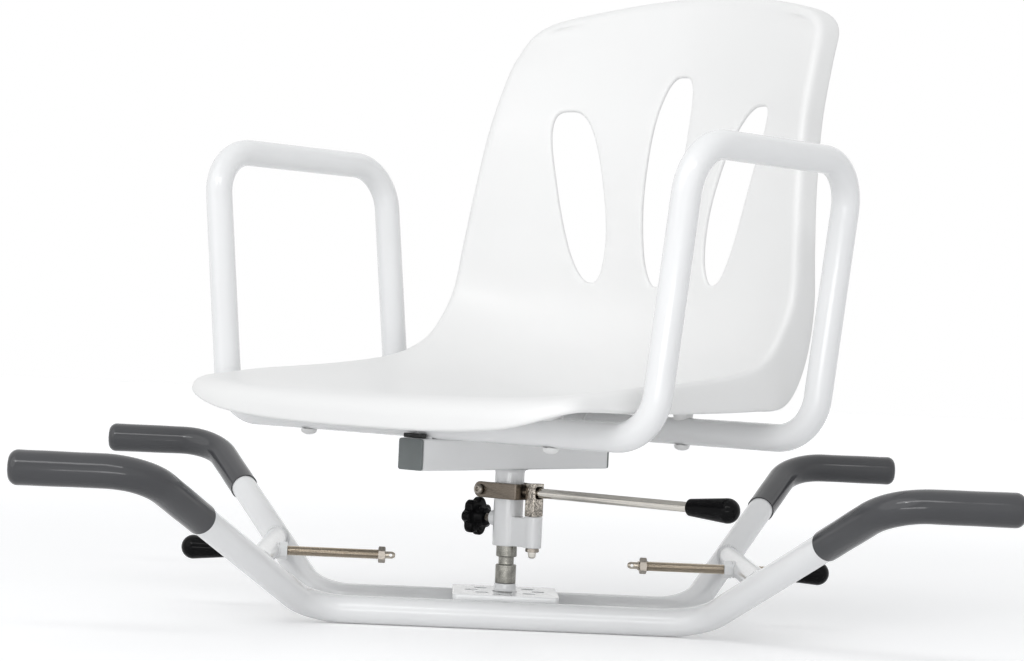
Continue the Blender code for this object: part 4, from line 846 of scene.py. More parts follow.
top = BEAM_BOTTOM - TOUCH
sleeve = bar(SLEEVE_RADIUS, top - SLEEVE_BOTTOM)
sleeve.transform(shift(z=(top + SLEEVE_BOTTOM) / 2))
boss_place = shift(0, -CLAMP_BOSS_END / 2, CLAMP_HEIGHT) @ ALONG_Y
web_bottom = SLEEVE_BOTTOM + 0.0004
web = slab(rounded_rectangle(WEB_THICKNESS, BARREL_OFFSET, 0.0005), WEB_TOP - web_bottom)
sleeve = combined(
    sleeve, "UNION",
    upright(BARREL_RADIUS, SLEEVE_BOTTOM, BARREL_TOP, BARREL_OFFSET),
    (web, shift(0, BARREL_OFFSET / 2, (WEB_TOP + web_bottom) / 2)),
    (bar(CLAMP_BOSS_RADIUS, CLAMP_BOSS_END), boss_place),
)
sleeve = combined(
    melted(sleeve, voxel=0.00045, rounds=8), "DIFFERENCE",
    upright(SLEEVE_BORE_RADIUS, SLEEVE_BOTTOM - 0.1, SLEEVE_BOTTOM + 0.1),
    upright(BARREL_BORE_RADIUS, SLEEVE_BOTTOM - 0.004, BARREL_TOP - BARREL_TOP_WALL, BARREL_OFFSET),
    upright(PLUNGER_RADIUS + FIT_GAP, BARREL_TOP - 0.01, BARREL_TOP + 0.01, BARREL_OFFSET),
    (bar(STUD_RADIUS + THREAD_GAP, CLAMP_BOSS_END), shift(y=-0.002) @ boss_place),
)
put("swivel_sleeve", sleeve, PAINT, SEAT, sharp=55)

fillet_bottom = top - SLEEVE_FILLET
fillet = arc(SLEEVE_FILLET, 90, 180, 8, (SLEEVE_RADIUS + SLEEVE_FILLET, fillet_bottom))
fillet = [(SLEEVE_BORE_RADIUS, top), *fillet, (SLEEVE_BORE_RADIUS, fillet_bottom)]
fillet = turned(fillet, 0, closed=True)
under_beam = slab(rounded_rectangle(THROUGH, BEAM_WIDTH - 0.0006, 0.001), 0.02)
fillet = combined(fillet, "INTERSECT", (under_beam, shift(z=top)))
put("swivel_sleeve", fillet, PAINT, SEAT, sharp=60, extra="sleeve_weld")

# The outline lies in the seat's YZ plane: local X is the seat's Y and local Y its Z.
UPRIGHT = Matrix(((0, 0, 1, 0), (1, 0, 0, 0), (0, 1, 0, 0), (0, 0, 0, 1)))
lug = arc(LUG_RADIUS, 90, 270, 32, (-PIVOT_OFFSET, LEVER_HEIGHT))
lug += [(0, LEVER_HEIGHT - LUG_RADIUS), (0, LEVER_HEIGHT + LUG_RADIUS)]
lug = combined(
    slab(lug, 2 * FORK_INNER - 2 * FIT_GAP), "DIFFERENCE",
    (bar(PIVOT_RADIUS + THREAD_GAP, THROUGH), shift(-PIVOT_OFFSET, LEVER_HEIGHT)),
    (bar(SLEEVE_RADIUS + TOUCH, THROUGH), UPRIGHT.inverted() @ shift(z=LEVER_HEIGHT)),
)
put("lever_pivot_lug", bevelled(lug, FINE_EDGE), PAINT, SEAT @ UPRIGHT)

outside = FORK_INNER + FORK_THICKNESS + FIT_GAP
head_top = outside + PIVOT_HEAD_HEIGHT
bolt_end = outside + PIVOT_NUT_THICKNESS + 0.001
hollow = head_top - PIVOT_HOLLOW_DEPTH
bolt = [(0, hollow), (PIVOT_HOLLOW_RADIUS, hollow), (PIVOT_HOLLOW_RADIUS, head_top),
        (PIVOT_HEAD_RADIUS - PIVOT_HEAD_CHAMFER, head_top),
        (PIVOT_HEAD_RADIUS, head_top - PIVOT_HEAD_CHAMFER), (PIVOT_HEAD_RADIUS, outside),
        (PIVOT_RADIUS, outside), (PIVOT_RADIUS, -bolt_end), (0, -bolt_end)]
put("lever_pivot_bolt", turned(bolt, 0.0006), STEEL, LEVER @ ALONG_X)
nut = hexagon_bar(PIVOT_NUT_WIDTH, PIVOT_NUT_THICKNESS, PIVOT_RADIUS)
put("lever_pivot_nut", nut, STEEL, LEVER @ ALONG_X @ shift(z=-outside - PIVOT_NUT_THICKNESS / 2))

bush_bottom = SLEEVE_BOTTOM - FIT_GAP - HEX_BUSH_HEIGHT
neck = upright(BARREL_BORE_RADIUS - FIT_GAP, 0, HEX_BUSH_HEIGHT / 2 + FIT_GAP + HEX_BUSH_SPIGOT)
flange = combined(hexagon_bar(HEX_BUSH_WIDTH, HEX_BUSH_HEIGHT, 0.002), "UNION", neck)
flange = combined(flange, "DIFFERENCE", (bar(PLUNGER_RADIUS + FIT_GAP, THROUGH), Matrix()))
put("plunger_bush", flange, STEEL, PLUNGER @ shift(z=bush_bottom + HEX_BUSH_HEIGHT / 2))

spring_bottom, spring_top = heights("plunger_spring")
spring_low = spring_bottom + SPRING_WIRE / 2
spring_high = spring_top - SPRING_WIRE / 2
steps = SPRING_TURNS * 28
coil = []
for step, (x, y) in enumerate(arc((PLUNGER_RADIUS + BARREL_BORE_RADIUS) / 2, 0, 360 * SPRING_TURNS, steps)):
    share = step / steps
    ease = share - math.sin(2 * math.pi * share) / (4 * math.pi)
    coil.append((x, y, spring_low + ease * (spring_high - spring_low)))
spring = put("plunger_spring", swept(coil, radius=SPRING_WIRE / 2, sides=12), STEEL, PLUNGER)
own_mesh(spring)

pin_low, pin_high = heights("plunger_pin")
rim = BARREL_BORE_RADIUS - FIT_GAP
rim_bottom = SLEEVE_BOTTOM + HEX_BUSH_SPIGOT + FIT_GAP
rim_top = rim_bottom + PIN_RIM_THICKNESS
pin = [(0, pin_high), (PLUNGER_RADIUS, pin_high), (PLUNGER_RADIUS, rim_top), (rim, rim_top),
       (rim, rim_bottom), (PLUNGER_RADIUS, rim_bottom), (PLUNGER_RADIUS, bush_bottom - 0.0004),
       (PLUNGER_TIP_RADIUS, pin_low + PIN_NOSE), (PLUNGER_TIP_RADIUS - PIN_NOSE, pin_low), (0, pin_low)]
put("plunger_pin", turned(pin, SMALL_EASE), BRIGHT, PLUNGER)

head_low, head_high = heights("plunger_head")
head_middle = (head_high + head_low) / 2
swing = PLUNGER_LIFT / (BARREL_OFFSET + PIVOT_OFFSET)
slot_half = ROD_RADIUS / math.cos(swing) + HEAD_LENGTH / 2 * math.tan(swing) + RUNNING_GAP
slot = slab(rounded_rectangle(2 * ROD_RADIUS + 2 * FIT_GAP, 2 * slot_half, 0.002), THROUGH)
head = combined(
    slab(rounded_rectangle(HEAD_WIDTH, HEAD_LENGTH, HEAD_CORNER_RADIUS), head_high - head_low), "DIFFERENCE",
    (slot, shift(z=LEVER_HEIGHT - head_middle) @ rotation(90, "X")),
    (bar(PLUNGER_RADIUS + THREAD_GAP, 0.012), shift(z=head_low - head_middle)),
)
# The head's steel carries painted glints in its colour, over a knurled relief.
put("plunger_head", bevelled(head, FINE_EDGE), KNURL_AND_PAINTED_GLINTS, PLUNGER @ shift(z=head_middle))


# Lever


def strap_leg(across, forwards, bend, steps):
    """One skin of the strap's leg, from its end round the bend to the web."""
    corner = [(across, forwards - bend), (across, forwards), (across - bend, forwards)]
    return [(across, -FORK_DEPTH / 2), *eased(corner, bend, steps=steps)[1:-1]]


web_inner = PIVOT_OFFSET + FORK_WEB_START
web_outer = web_inner + FORK_THICKNESS
inner_leg = strap_leg(FORK_INNER, web_inner, FORK_INNER_BEND, 6)
outer_leg = strap_leg(FORK_INNER + FORK_THICKNESS, web_outer, FORK_OUTER_BEND, 8)
plan = [(-x, y) for x, y in inner_leg] + inner_leg[::-1] + outer_leg + [(-x, y) for x, y in outer_leg[::-1]]
high = FORK_DEPTH / 2 + FORK_THICKNESS
far = web_outer + FORK_THICKNESS
side_view = arc(FORK_DEPTH / 2, 90, 270, 40) + [(0, -high), (far, -high), (far, high), (0, high)]
fork = combined(slab(plan, FORK_DEPTH), "INTERSECT", (slab(side_view, THROUGH), UPRIGHT))
fork = combined(fork, "DIFFERENCE", (bar(PIVOT_RADIUS + FIT_GAP, THROUGH), ALONG_X))
put("lever_fork", bevelled(fork, FINE_EDGE, angle=50), STRAP, LEVER)

knob_start = PIVOT_OFFSET + LEVER_KNOB_START
start = web_outer + 2 * TOUCH
end = knob_start + KNOB_BORE_DEPTH - FIT_GAP
rod = turned([(0, end), (ROD_RADIUS, end), (ROD_RADIUS, start), (0, start)], SMALL_EASE)
put("lever_rod", rod, BRIGHT, LEVER @ ALONG_Y)
put("lever_knob", turned(KNOB, KNOB_EASE), BLACK, LEVER @ ALONG_Y @ shift(z=knob_start))


# Clamp screw and its star knob


start = SPINDLE_RADIUS + RUNNING_GAP
shoulder = start + STUD_POINT_LENGTH
stud_end = STAR_DISC_START + STUD_IN_STAR
nose = 0.0005
point = plain_end(start, shoulder + OVERLAP, STUD_POINT_RADIUS, nose, STUD_POINT_RADIUS - nose, SMALL_EASE)
stud = combined(threaded(shoulder + 0.0008, stud_end, STUD_RADIUS), "UNION", (point, Matrix()))
put("clamp_stud", stud, STEEL, CLAMP, sharp=35)


def star_knob():
    """A lobed disc with rounded edges and a hollow in its face, on a round hub."""
    front = STAR_DISC_START + STAR_THICKNESS
    hub_start = STAR_DISC_START - STAR_HUB_LENGTH
    middle = STAR_RADIUS - STAR_LOBE_HEIGHT - STAR_RIM
    bore = STUD_RADIUS + THREAD_GAP
    bore_end = stud_end + FIT_GAP
    profile = [(0, 0, front - 0.0012), (0.0058, 0, front - 0.0012), (0.0066, 0.05, front - 0.0002)]
    quarter = arc(STAR_RIM, 90, 0, 8)
    back = STAR_DISC_START + STAR_RIM
    profile += [(middle + x, 1 - 0.4 * y / STAR_RIM, front - STAR_RIM + y) for x, y in quarter]
    profile += [(middle + x, 1 - 0.4 * y / STAR_RIM, back - y) for x, y in quarter[::-1]]
    for radius, height in (
        (STAR_HUB_RADIUS + STAR_HUB_FLARE, STAR_DISC_START),
        (STAR_HUB_RADIUS, STAR_DISC_START - STAR_HUB_FLARE),
        (STAR_HUB_RADIUS, hub_start + STAR_HUB_CHAMFER), (STAR_HUB_RADIUS - STAR_HUB_CHAMFER, hub_start),
        (bore, hub_start), (bore, bore_end), (0, bore_end),
    ):
        profile.append((radius, 0, height))
    steps = STAR_LOBES * 24
    shape = bmesh.new()
    rings = []
    for base, lobe, height in profile:
        ring = []
        for index, (x, y) in enumerate(circle(1, steps) if base else [(0, 0)]):
            wave = 2 * math.pi * STAR_LOBES * index / steps
            radius = base + lobe * STAR_LOBE_HEIGHT * (math.cos(wave) - 0.18 * math.cos(2 * wave) + 0.18)
            ring.append(shape.verts.new((radius * x, radius * y, height)))
        rings.append(ring)
    for first, second in zip(rings[:-1], rings[1:]):
        bridge(shape, first, second)
    return mesh_of(shape)


put("star_knob", star_knob(), BLACK, CLAMP, sharp=50)


# Beam and armrests


length = BEAM_FRONT + BEAM_REAR
middle = BEAM_BOTTOM + BEAM_WIDTH / 2
inside = BEAM_WIDTH - 2 * BEAM_WALL
hollow = square(inside, BEAM_CORNER_RADIUS / 2, length + 0.01, 4)
beam = combined(square(BEAM_WIDTH, BEAM_CORNER_RADIUS, length, 8), "DIFFERENCE", (hollow, Matrix()))
put("seat_beam", bevelled(beam, 0.0003, angle=60, segments=2), PAINT,
    SEAT @ shift((BEAM_FRONT - BEAM_REAR) / 2, 0, middle) @ ALONG_X)
for node, end, facing in (("front_beam_cap", BEAM_FRONT, 1), ("rear_beam_cap", -BEAM_REAR, -1)):
    cap = bevelled(square(BEAM_WIDTH - 0.0004, BEAM_CORNER_RADIUS, CAP_THICKNESS, 8), 0.0007, angle=60)
    plug = square(inside - 0.0006, BEAM_CORNER_RADIUS / 2, CAP_PLUG_LENGTH)
    cap = combined(cap, "UNION", (plug, shift(z=-facing * 0.0055)))
    put(node, cap, GREY, SEAT @ shift(end + facing * (FIT_GAP + CAP_THICKNESS / 2), 0, middle) @ ALONG_X)

pad_low, pad_high = heights("beam_pad")
pad_height = pad_high - pad_low
pad = slab(rounded_rectangle(PAD_DEPTH, BEAM_WIDTH - 2 * BEAM_CORNER_RADIUS, 0.0012), pad_height)
put("beam_pad", bevelled(pad, 0.0005, angle=50), RUBBER,
    SEAT @ shift(BEAM_FRONT - PAD_DEPTH / 2, 0, BEAM_TOP + FIT_GAP + pad_height / 2))

for hand, side in (("left", 1), ("right", -1)):
    start = side * FIT_GAP / 2
    low = side * LOOP_BOTTOM_SPREAD
    high = side * LOOP_TOP_SPREAD
    corners = [
        (LOOP_FRONT_BOTTOM, start, LOOP_BOTTOM_HEIGHT), (LOOP_FRONT_BOTTOM, low, LOOP_BOTTOM_HEIGHT),
        (LOOP_FRONT_TOP, high, LOOP_TOP_HEIGHT), (LOOP_REAR_TOP, high, LOOP_TOP_HEIGHT),
        (LOOP_REAR_BOTTOM, low, LOOP_BOTTOM_HEIGHT), (LOOP_REAR_BOTTOM, start, LOOP_BOTTOM_HEIGHT),
    ]
    loop = swept(bent_path(corners, LOOP_BEND_RADIUS, 20), radius=TUBE_RADIUS, sides=48)
    put(f"{hand}_armrest", loop, PAINT, SEAT)

for label, forward in (("front", LOOP_FRONT_BOTTOM), ("rear", LOOP_REAR_BOTTOM)):
    seam = [(x, 0, z) for x, z in past_round(TUBE_RADIUS - 0.0002, (forward, LOOP_BOTTOM_HEIGHT))]
    put("left_armrest", weld_bead(seam, SEAM_RADIUS), PAINT, SEAT, extra=f"{label}_run_seam")
    for side, edge in ((1, "fore"), (-1, "aft")):
        bead = [(forward + side * RUN_WELD_OFFSET, y, BEAM_TOP + 0.0006) for y in (-0.0115, 0.0115)]
        put("left_armrest", weld_bead(bead, RUN_WELD_RADIUS), PAINT, SEAT, extra=f"{label}_run_{edge}_weld")


# Seat shell


def along(points, station):
    """A smooth curve through the points, one unit of station apart."""
    count = len(points)
    index = min(int(station), count - 2)
    share = station - index
    known = np.array(points, dtype=float)
    first, second = known[index], known[index + 1]
    before = known[index - 1] if index else 2 * first - second
    after = known[index + 2] if index + 2 < count else 2 * second - first
    out_of_first = (second - before) / 2
    into_second = (after - first) / 2
    return (
        (2 * share**3 - 3 * share**2 + 1) * first
        + (share**3 - 2 * share**2 + share) * out_of_first
        + (3 * share**2 - 2 * share**3) * second
        + (share**3 - share**2) * into_second
    )


def centre_point(station):
    forward, height = along(SHELL_CENTRE_LINE, station)
    return np.array([forward, 0.0, BEAM_TOP + height])


def side_row(station):
    """Where the upper face starts to turn down, the corner that it turns round, and the skirt's edge."""
    rim = along(SHELL_RIM_LINE, station)
    edge = along(SHELL_EDGE_LINE, station)
    width = float(along(SHELL_HALF_WIDTHS, station))
    centre = centre_point(station)
    corner = np.array([rim[0], width, BEAM_TOP + rim[1]])
    inset = 1 - SHELL_RIM_ROUND / width
    start = centre + (corner - centre) * np.array([inset**2, inset, inset**2])
    return start, corner, np.array([edge[0], width + SHELL_FLARE, BEAM_TOP + edge[1]])


def front_row(sideways):
    """The same three points of the front lip, at a distance from the middle."""
    share = abs(sideways) / SHELL_HALF_WIDTHS[0]
    crease = SHELL_CENTRE_LINE[0]
    height = BEAM_TOP + crease[1] + CREASE_RISE * share**2
    return (
        np.array([crease[0], sideways, height]),
        np.array([LIP_FRONT, sideways, height]),
        np.array([LIP_FRONT, sideways, BEAM_TOP + LIP_BOTTOM + LIP_CORNER_RISE * share**3]),
    )


def top_row(sideways):
    """The same three points of the rolled top of the back, which starts along the back's own slope."""
    last = len(SHELL_CENTRE_LINE) - 1
    centre = centre_point(last)
    slope = centre - centre_point(last - 0.5)
    slope /= np.linalg.norm(slope)
    share = abs(sideways) / SHELL_HALF_WIDTHS[-1]
    forward = centre[0] + (SHELL_RIM_LINE[-1][0] - centre[0]) * share**2
    start = np.array([forward, sideways, centre[2] - BACK_TOP_CAMBER * sideways**2])
    corner = start + slope * SHELL_RIM_ROUND
    return start, corner, np.array([forward - BACK_TOP_ROLL, sideways, corner[2]])


def corner_rows(station, beyond, end_row, reach):
    """Rows that turn from the side into the end row, by a smooth curve through each of the three points."""
    small = 0.01
    handle = 0.39
    at_side = side_row(station)
    inside = side_row(station - beyond * small)
    at_end = end_row(reach)
    past_end = end_row(reach - small)
    rows = []
    for step in range(CORNER_ROWS + 1):
        t = step / CORNER_ROWS
        row = []
        for first, before, last, after in zip(at_side, inside, at_end, past_end):
            length = handle * np.linalg.norm(last - first)
            out = (first - before) / np.linalg.norm(first - before)
            into = (after - last) / np.linalg.norm(after - last)
            out = out * min(length, 0.9 * max(np.dot(last - first, out), 0))
            into = into * min(length, 0.9 * max(np.dot(last - first, into), 0))
            row.append(
                (1 - t) ** 3 * first
                + 3 * t * (1 - t) ** 2 * (first + out)
                + 3 * t**2 * (1 - t) * (last - into)
                + t**3 * last
            )
        rows.append(row)
    return rows


def shell_rows():
    """Each row's centre, three side points and rim radius, from the front lip to the top of the back."""
    last = len(SHELL_CENTRE_LINE) - 1
    front_reach = side_row(0)[0][1] - FRONT_CORNER_RADIUS
    top_reach = side_row(last)[0][1] - TOP_CORNER_RADIUS
    front_share = 0.25
    top_share = 0.4
    blend = 3
    rows = []
    for step, row in enumerate(corner_rows(0, -1, front_row, front_reach)[::-1]):
        rows.append((centre_point(front_share * step / CORNER_ROWS), row, SHELL_FRONT_ROUND))
    for step in range(1, last * ROWS_PER_STATION + 1):
        station = step / ROWS_PER_STATION
        from_front = front_share * max(1 - station / blend, 0) ** 2
        from_top = top_share * max((station - last + blend) / blend, 0) ** 2
        radius = SHELL_RIM_ROUND + (SHELL_FRONT_ROUND - SHELL_RIM_ROUND) * max(1 - station, 0)
        rows.append((centre_point(station + from_front - from_top), side_row(station), radius))
    for step, row in enumerate(corner_rows(last, 1, top_row, top_reach)[1:], 1):
        rows.append((centre_point(last - top_share * (1 - step / CORNER_ROWS)), row, SHELL_RIM_ROUND))
    return rows, front_reach, top_reach


def skirt_points(start, corner, edge, radius):
    """Round the corner and down to the skirt's edge, which ends half a wall short for its round lip."""
    wall = edge - corner
    length = np.linalg.norm(wall)
    bend_end = corner + wall * min(radius / length, 0.85 * (1 - SHELL_THICKNESS / 2 / length))
    edge = edge - wall / length * SHELL_THICKNESS / 2
    points = []
    for step in range(1, BEND_STEPS + 1):
        turn = step / BEND_STEPS
        points.append((1 - turn) ** 2 * start + 2 * turn * (1 - turn) * corner + turn**2 * bend_end)
    points += [bend_end + (edge - bend_end) * step / WALL_STEPS for step in range(1, WALL_STEPS + 1)]
    return points


def shell_sheet():
    """The upper face as one open sheet, skirts included."""
    shape = bmesh.new()
    rows, front_reach, top_reach = shell_rows()
    grid = []
    for centre, (start, _, _), _ in rows:
        line = []
        for column in range(-COLUMNS, COLUMNS + 1):
            share = abs(column) / COLUMNS
            point = centre + (start - centre) * np.array([share**2, share, share**2])
            line.append(shape.verts.new(point * np.array([1, 1 if column > 0 else -1, 1])))
        grid.append(line)
    for below, above in zip(grid[:-1], grid[1:]):
        for column in range(2 * COLUMNS):
            shape.faces.new((below[column], below[column + 1], above[column + 1], above[column]))
    last = len(rows) - 1
    loop = []
    for column in range(-COLUMNS, COLUMNS):
        row = front_row(front_reach * column / COLUMNS)
        loop.append((grid[0][column + COLUMNS], row, SHELL_FRONT_ROUND, 1))
    for index in range(last):
        loop.append((grid[index][-1], rows[index][1], rows[index][2], 1))
    for column in range(COLUMNS, -COLUMNS, -1):
        row = top_row(top_reach * column / COLUMNS)
        loop.append((grid[last][column + COLUMNS], row, SHELL_RIM_ROUND, 1))
    for index in range(last, 0, -1):
        loop.append((grid[index][0], rows[index][1], rows[index][2], -1))
    strips = []
    for vertex, three_points, radius, side in loop:
        strip = [vertex]
        for point in skirt_points(*three_points, radius):
            strip.append(shape.verts.new(point * np.array([1, side, 1])))
        strips.append(strip)
    for index, strip in enumerate(strips):
        after = strips[(index + 1) % len(strips)]
        for step in range(len(strip) - 1):
            shape.faces.new((strip[step], strip[step + 1], after[step + 1], after[step]))
    bmesh.ops.recalc_face_normals(shape, faces=shape.faces)
    middle = grid[len(grid) // 3][COLUMNS]
    if middle.link_faces[0].normal.z < 0:
        bmesh.ops.reverse_faces(shape, faces=shape.faces)
    return shape


def slot_outline(foot, top, half_width, side, steps=60):
    """A pair of half ovals in even steps, grown by half a wall for the slot's round lip."""
    grow = SHELL_THICKNESS / 2
    spare = grow / (top[1] - foot[1])
    low = SLOT_WIDEST
    ring = []
    for step in range(steps):
        angle = math.pi / 2 * step / steps
        height = low - (low + spare) * math.cos(angle) ** (2 / SLOT_FOOT_POWER)
        ring.append((height, math.sin(angle) ** (2 / SLOT_FOOT_POWER)))
    for step in range(steps + 1):
        angle = math.pi / 2 * (1 - step / steps)
        rise = (1 - low + spare) * math.cos(angle) ** (2 / SLOT_TOP_POWER)
        ring.append((low + rise, math.sin(angle) ** (2 / SLOT_TOP_POWER)))
    outline = []
    for edge in (1, -1):
        for share, width in ring if edge > 0 else ring[-2:0:-1]:
            sideways = foot[0] + (top[0] - foot[0]) * share
            bow = SLOT_BOW * math.sin(math.pi * min(max(share, 0), 1)) if foot[0] else 0
            height = BEAM_TOP + foot[1] + (top[1] - foot[1]) * share
            outline.append(Vector((side * (sideways - bow + edge * (half_width + grow) * width), height)))
    lengths = lengths_along(outline + outline[:1])
    count = int(lengths[-1] / SLOT_SPACING)
    even = []
    index = 0
    for step in range(count):
        length = lengths[-1] * step / count
        while lengths[index + 1] < length:
            index += 1
        share = (length - lengths[index]) / (lengths[index + 1] - lengths[index])
        even.append(tuple(outline[index].lerp(outline[(index + 1) % len(outline)], share)))
    return even


def once_each(elements):
    """Each element once, in the order in which they come, so that every run stores the same mesh."""
    return list(dict.fromkeys(elements))


def with_round_wall(shape, thickness, steps=6):
    """Gives an open sheet an even wall below it, closed round every edge by half a circle.

    The lower face is smoothed away from the edges, where an inner corner is tighter than the wall.
    """
    radius = thickness / 2
    shape.normal_update()
    upper = list(shape.verts)
    faces = list(shape.faces)
    rims = [edge for edge in shape.edges if len(edge.link_faces) == 1]
    rim_edges = set(rims)
    lower = {vertex: shape.verts.new(vertex.co - vertex.normal * thickness) for vertex in upper}
    strips = {}
    for vertex in once_each(vertex for edge in rims for vertex in edge.verts):
        ends = [edge.other_vert(vertex).co for edge in vertex.link_edges if edge in rim_edges]
        out = (ends[0] - ends[-1]).cross(vertex.normal).normalized()
        inwards = sum((face.calc_center_median() - vertex.co for face in vertex.link_faces), Vector())
        if out.dot(inwards) > 0:
            out = -out
        strip = [vertex]
        for step in range(1, steps):
            angle = math.pi * step / steps
            sink = vertex.normal * radius * (1 - math.cos(angle))
            strip.append(shape.verts.new(vertex.co - sink + out * radius * math.sin(angle)))
        strips[vertex] = strip + [lower[vertex]]
    for edge in rims:
        loop = edge.link_loops[0]
        first, second = strips[loop.vert], strips[loop.link_loop_next.vert]
        for step in range(steps):
            shape.faces.new((second[step], first[step], first[step + 1], second[step + 1]))
    for face in faces:
        shape.faces.new([lower[vertex] for vertex in reversed(face.verts)])
    free = [lower[vertex] for vertex in upper if vertex not in strips]
    every_way = {f"use_axis_{axis}": True for axis in "xyz"}
    for _ in range(4):
        bmesh.ops.smooth_vert(shape, verts=free, factor=0.5, **every_way)


def enclosed(outline, point):
    """Whether a point lies inside a closed outline in the same plane."""
    inside = False
    for (y, z), (next_y, next_z) in zip(outline, outline[1:] + outline[:1]):
        crosses = (z > point[1]) != (next_z > point[1])
        if crosses and point[0] < y + (point[1] - z) / (next_z - z) * (next_y - y):
            inside = not inside
    return inside


def open_slots(shape):
    """Cuts the slots: a block of faces goes, and triangles up to the slots' outlines take its place."""
    outlines = [slot_outline(*SIDE_SLOT, 1), slot_outline(*MIDDLE_SLOT, 1), slot_outline(*SIDE_SLOT, -1)]
    (left, right), (low, high) = SLOT_REGION
    backwards = Vector((-1, 0, 0))
    surface = BVHTree.FromBMesh(shape)
    block = []
    for face in shape.faces:
        if all(left < vertex.co.y < right and low < vertex.co.z - BEAM_TOP < high for vertex in face.verts):
            block.append(face)
    in_block = set(block)
    border = [edge for edge in shape.edges if sum(face in in_block for face in edge.link_faces) == 1]
    kept = once_each(vertex for edge in border for vertex in edge.verts)
    on_border = set(kept)
    inner = once_each(vertex for face in block for vertex in face.verts if vertex not in on_border)
    points = [Vector((vertex.co.y, vertex.co.z)) for vertex in kept]
    edges = [tuple(kept.index(vertex) for vertex in edge.verts) for edge in border]
    for outline in outlines:
        first = len(points)
        count = len(outline)
        points += [Vector(point) for point in outline]
        edges += [(first + index, first + (index + 1) % count) for index in range(count)]
    rims = points[len(kept):]
    for vertex in inner:
        flat = Vector((vertex.co.y, vertex.co.z))
        if min((flat - rim).length for rim in rims) > 0.7 * SLOT_SPACING:
            points.append(flat)
    bmesh.ops.delete(shape, geom=block, context="FACES")
    rest = BVHTree.FromBMesh(shape)
    flats, _, triangles, origins, _, _ = delaunay_2d_cdt(points, edges, [], 0, 1e-7)
    made = {}

    def vertex_at(index):
        if index not in made:
            old = [origin for origin in origins[index] if origin < len(kept)]
            seen_from = Vector((1, *flats[index]))
            made[index] = kept[old[0]] if old else shape.verts.new(surface.ray_cast(seen_from, backwards)[0])
        return made[index]

    for triangle in triangles:
        middle = sum((flats[index] for index in triangle), Vector((0, 0))) / 3
        in_slot = any(enclosed(outline, middle) for outline in outlines)
        if not in_slot and rest.ray_cast(Vector((1, *middle)), backwards)[0] is None:
            shape.faces.new([vertex_at(index) for index in triangle])


def shell_mesh():
    shape = shell_sheet()
    open_slots(shape)
    with_round_wall(shape, SHELL_THICKNESS)
    mesh = bpy.data.meshes.new("shell")
    shape.to_mesh(mesh)
    shape.free()
    return mesh


shell = shell_mesh()
shell.transform(SEAT)
put("seat_shell", shell, SHELL, sharp=70)

FIXINGS = (("front", LOOP_FRONT_BOTTOM, FRONT_SCREW_SPREAD), ("rear", LOOP_REAR_BOTTOM, REAR_SCREW_SPREAD))
for end, forward, spread in FIXINGS:
    for hand, side in (("left", 1), ("right", -1)):
        place = SEAT @ shift(forward, side * spread)
        node = f"{end}_{hand}_spacer"
        low, high = heights(node)
        spacer = [(0, high), (SPACER_TOP_RADIUS, high), (SPACER_FOOT_RADIUS, low), (0, low)]
        run = (bar(TUBE_RADIUS + 2 * TOUCH, THROUGH), shift(z=LOOP_BOTTOM_HEIGHT) @ ALONG_Y)
        put(node, combined(turned(spacer, SPACER_EASE), "DIFFERENCE", run), SHELL, place, sharp=50)
        node = f"{end}_{hand}_screw"
        low, high = heights(node)
        head = LOOP_BOTTOM_HEIGHT - TUBE_RADIUS - 2 * TOUCH
        brim = head - SCREW_BRIM
        screw = [(0, high), (SCREW_RADIUS, high), (SCREW_RADIUS, head), (SCREW_HEAD_RADIUS + 0.0001, head)]
        screw += [(SCREW_HEAD_RADIUS * x, brim + (low - brim) * y) for x, y in arc(1, 0, 90, 8)]
        put(node, turned(screw, SMALL_EASE), SHELL, place, sharp=50)


# Floor, light and camera


def maths(tree, operation, first, second):
    return add_node(tree, "Math", {0: first, 1: second}, operation=operation).outputs[0]


def shows_background(tree):
    """One for rays from the camera, a mirror or a clear body, and nothing for the rest."""
    rays = tree.nodes.new("ShaderNodeLightPath").outputs
    either = maths(tree, "MAXIMUM", rays["Is Camera Ray"], rays["Is Glossy Ray"])
    return maths(tree, "MAXIMUM", either, rays["Is Transmission Ray"])


def grows_outwards(tree, near, far):
    """A value that is near's within the first distance of the seat and far's past the second."""
    spot = tree.nodes.new("ShaderNodeTexCoord").outputs["Object"]
    distance = add_node(tree, "VectorMath", {0: spot}, operation="LENGTH").outputs["Value"]
    span = {"Value": distance, "From Min": near[0], "From Max": far[0], "To Min": near[1], "To Max": far[1]}
    return add_node(tree, "MapRange", span, interpolation_type="SMOOTHSTEP").outputs["Result"]


FLOOR_LIFT_NEAR = (0.6, 0.19)
FLOOR_LIFT_FAR = (2.2, 0.30)
floor_material = bpy.data.materials.new("floor")
floor_material.use_nodes = True
tree = floor_material.node_tree
matt = tree.nodes["Principled BSDF"]
set_inputs(tree, matt, {"Base Color": (0.93, 0.93, 0.935, 1), "Roughness": 0.55, "Specular IOR Level": 0.2})
lift = maths(tree, "MULTIPLY", shows_background(tree), grows_outwards(tree, FLOOR_LIFT_NEAR, FLOOR_LIFT_FAR))
glow = add_node(tree, "Emission", {"Strength": lift})
both = add_node(tree, "AddShader", {0: matt.outputs[0], 1: glow.outputs[0]})
set_inputs(tree, tree.nodes["Material Output"], {"Surface": both.outputs[0]})
floor_mesh = square(16, 1, 0.01)
floor_mesh.materials.append(floor_material)
floor = helper(floor_mesh, shift(z=-0.0051), "floor")


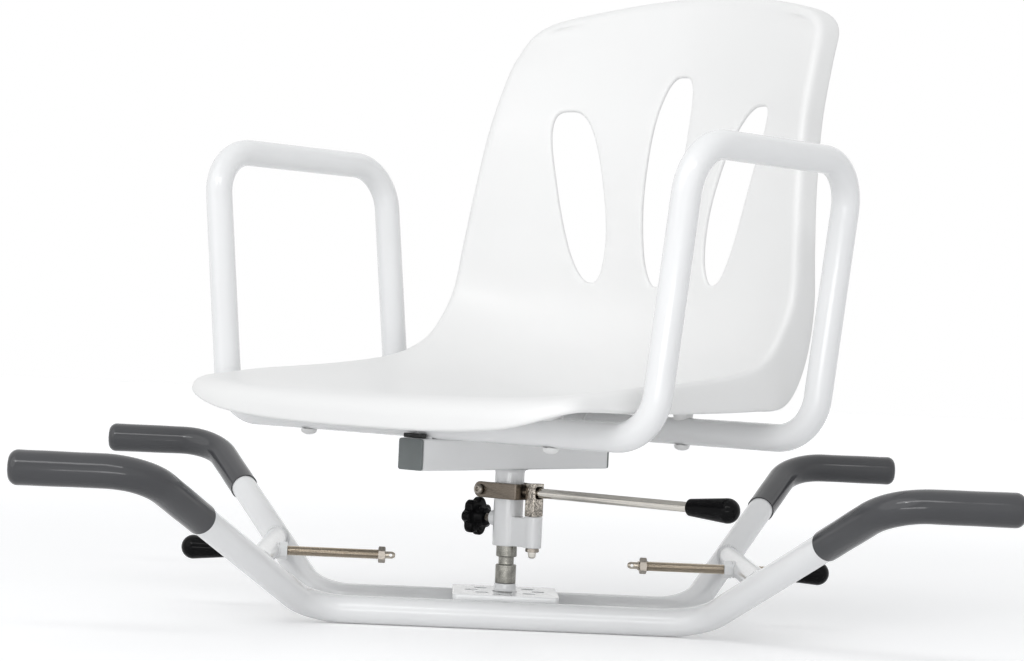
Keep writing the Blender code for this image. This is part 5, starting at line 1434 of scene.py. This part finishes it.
def light(name, kind, strength, place, size):
    """A lamp that faces the seat: a sun with its angular size, or a panel with its width and height."""
    lamp = bpy.data.lights.new(name, kind)
    lamp.energy = strength
    if kind == "SUN":
        lamp.angle = math.radians(size)
    else:
        lamp.shape = "RECTANGLE"
        lamp.size, lamp.size_y = size
    towards = Vector((0, 0, 0.25)) - Vector(place)
    helper(lamp, shift(*place) @ towards.to_track_quat("-Z", "Y").to_matrix().to_4x4(), name)


light("key", "SUN", 0.72, (-2.0, -1.7, 1.8), 60)
light("top", "SUN", 0.3, (0.3, 0.2, 3.0), 90)
light("side", "SUN", 0.3, (0.9, -2.0, 0.4), 70)
light("panel", "AREA", 12, (-0.4, -1.9, 1.67), (2.4, 0.35))
light("low", "AREA", 1.3, (-0.1, -1.3, 0.07), (0.7, 0.12))
light("spark", "AREA", 1.6, (-0.9, -1.9, 1.5), (0.14, 0.14))

world = bpy.data.worlds.new("studio")
bpy.context.scene.world = world
world.use_nodes = True
tree = world.node_tree
sky = tree.nodes["Background"]
set_inputs(tree, sky, {"Color": (0.97, 0.985, 1.0, 1), "Strength": 0.5})
seen = add_node(tree, "Background", {"Color": (1, 1, 1, 1)})
choice = add_node(tree, "MixShader", {"Fac": shows_background(tree), 1: sky.outputs[0], 2: seen.outputs[0]})
set_inputs(tree, tree.nodes["World Output"], {"Surface": choice.outputs[0]})

IMAGE_WIDTH = 1024
FOCAL_PIXELS = 2626.47
SENSOR_WIDTH = 36
CAMERA_HEADING = -1.38
CAMERA_PITCH = 0.186
CAMERA_ROLL = -2.562
CAMERA_DISTANCE = 2.1315
CAMERA_CENTRE = (-0.003565, 0, 0.23045)
camera_data = bpy.data.cameras.new("camera")
camera_data.sensor_width = SENSOR_WIDTH
camera_data.lens = FOCAL_PIXELS / IMAGE_WIDTH * SENSOR_WIDTH
camera_data.clip_end = 100
# The camera looks along its own -Z with +Y up, and the fitted frame along +Y with +Z up.
turn = rotation(CAMERA_PITCH, "X") @ rotation(CAMERA_ROLL, "Y") @ rotation(90, "X")
stand = shift(*CAMERA_CENTRE) @ rotation(CAMERA_HEADING, "Z") @ shift(y=-CAMERA_DISTANCE)
bpy.context.scene.camera = helper(camera_data, stand @ turn, "camera")

bpy.context.scene.view_settings.view_transform = "Standard"
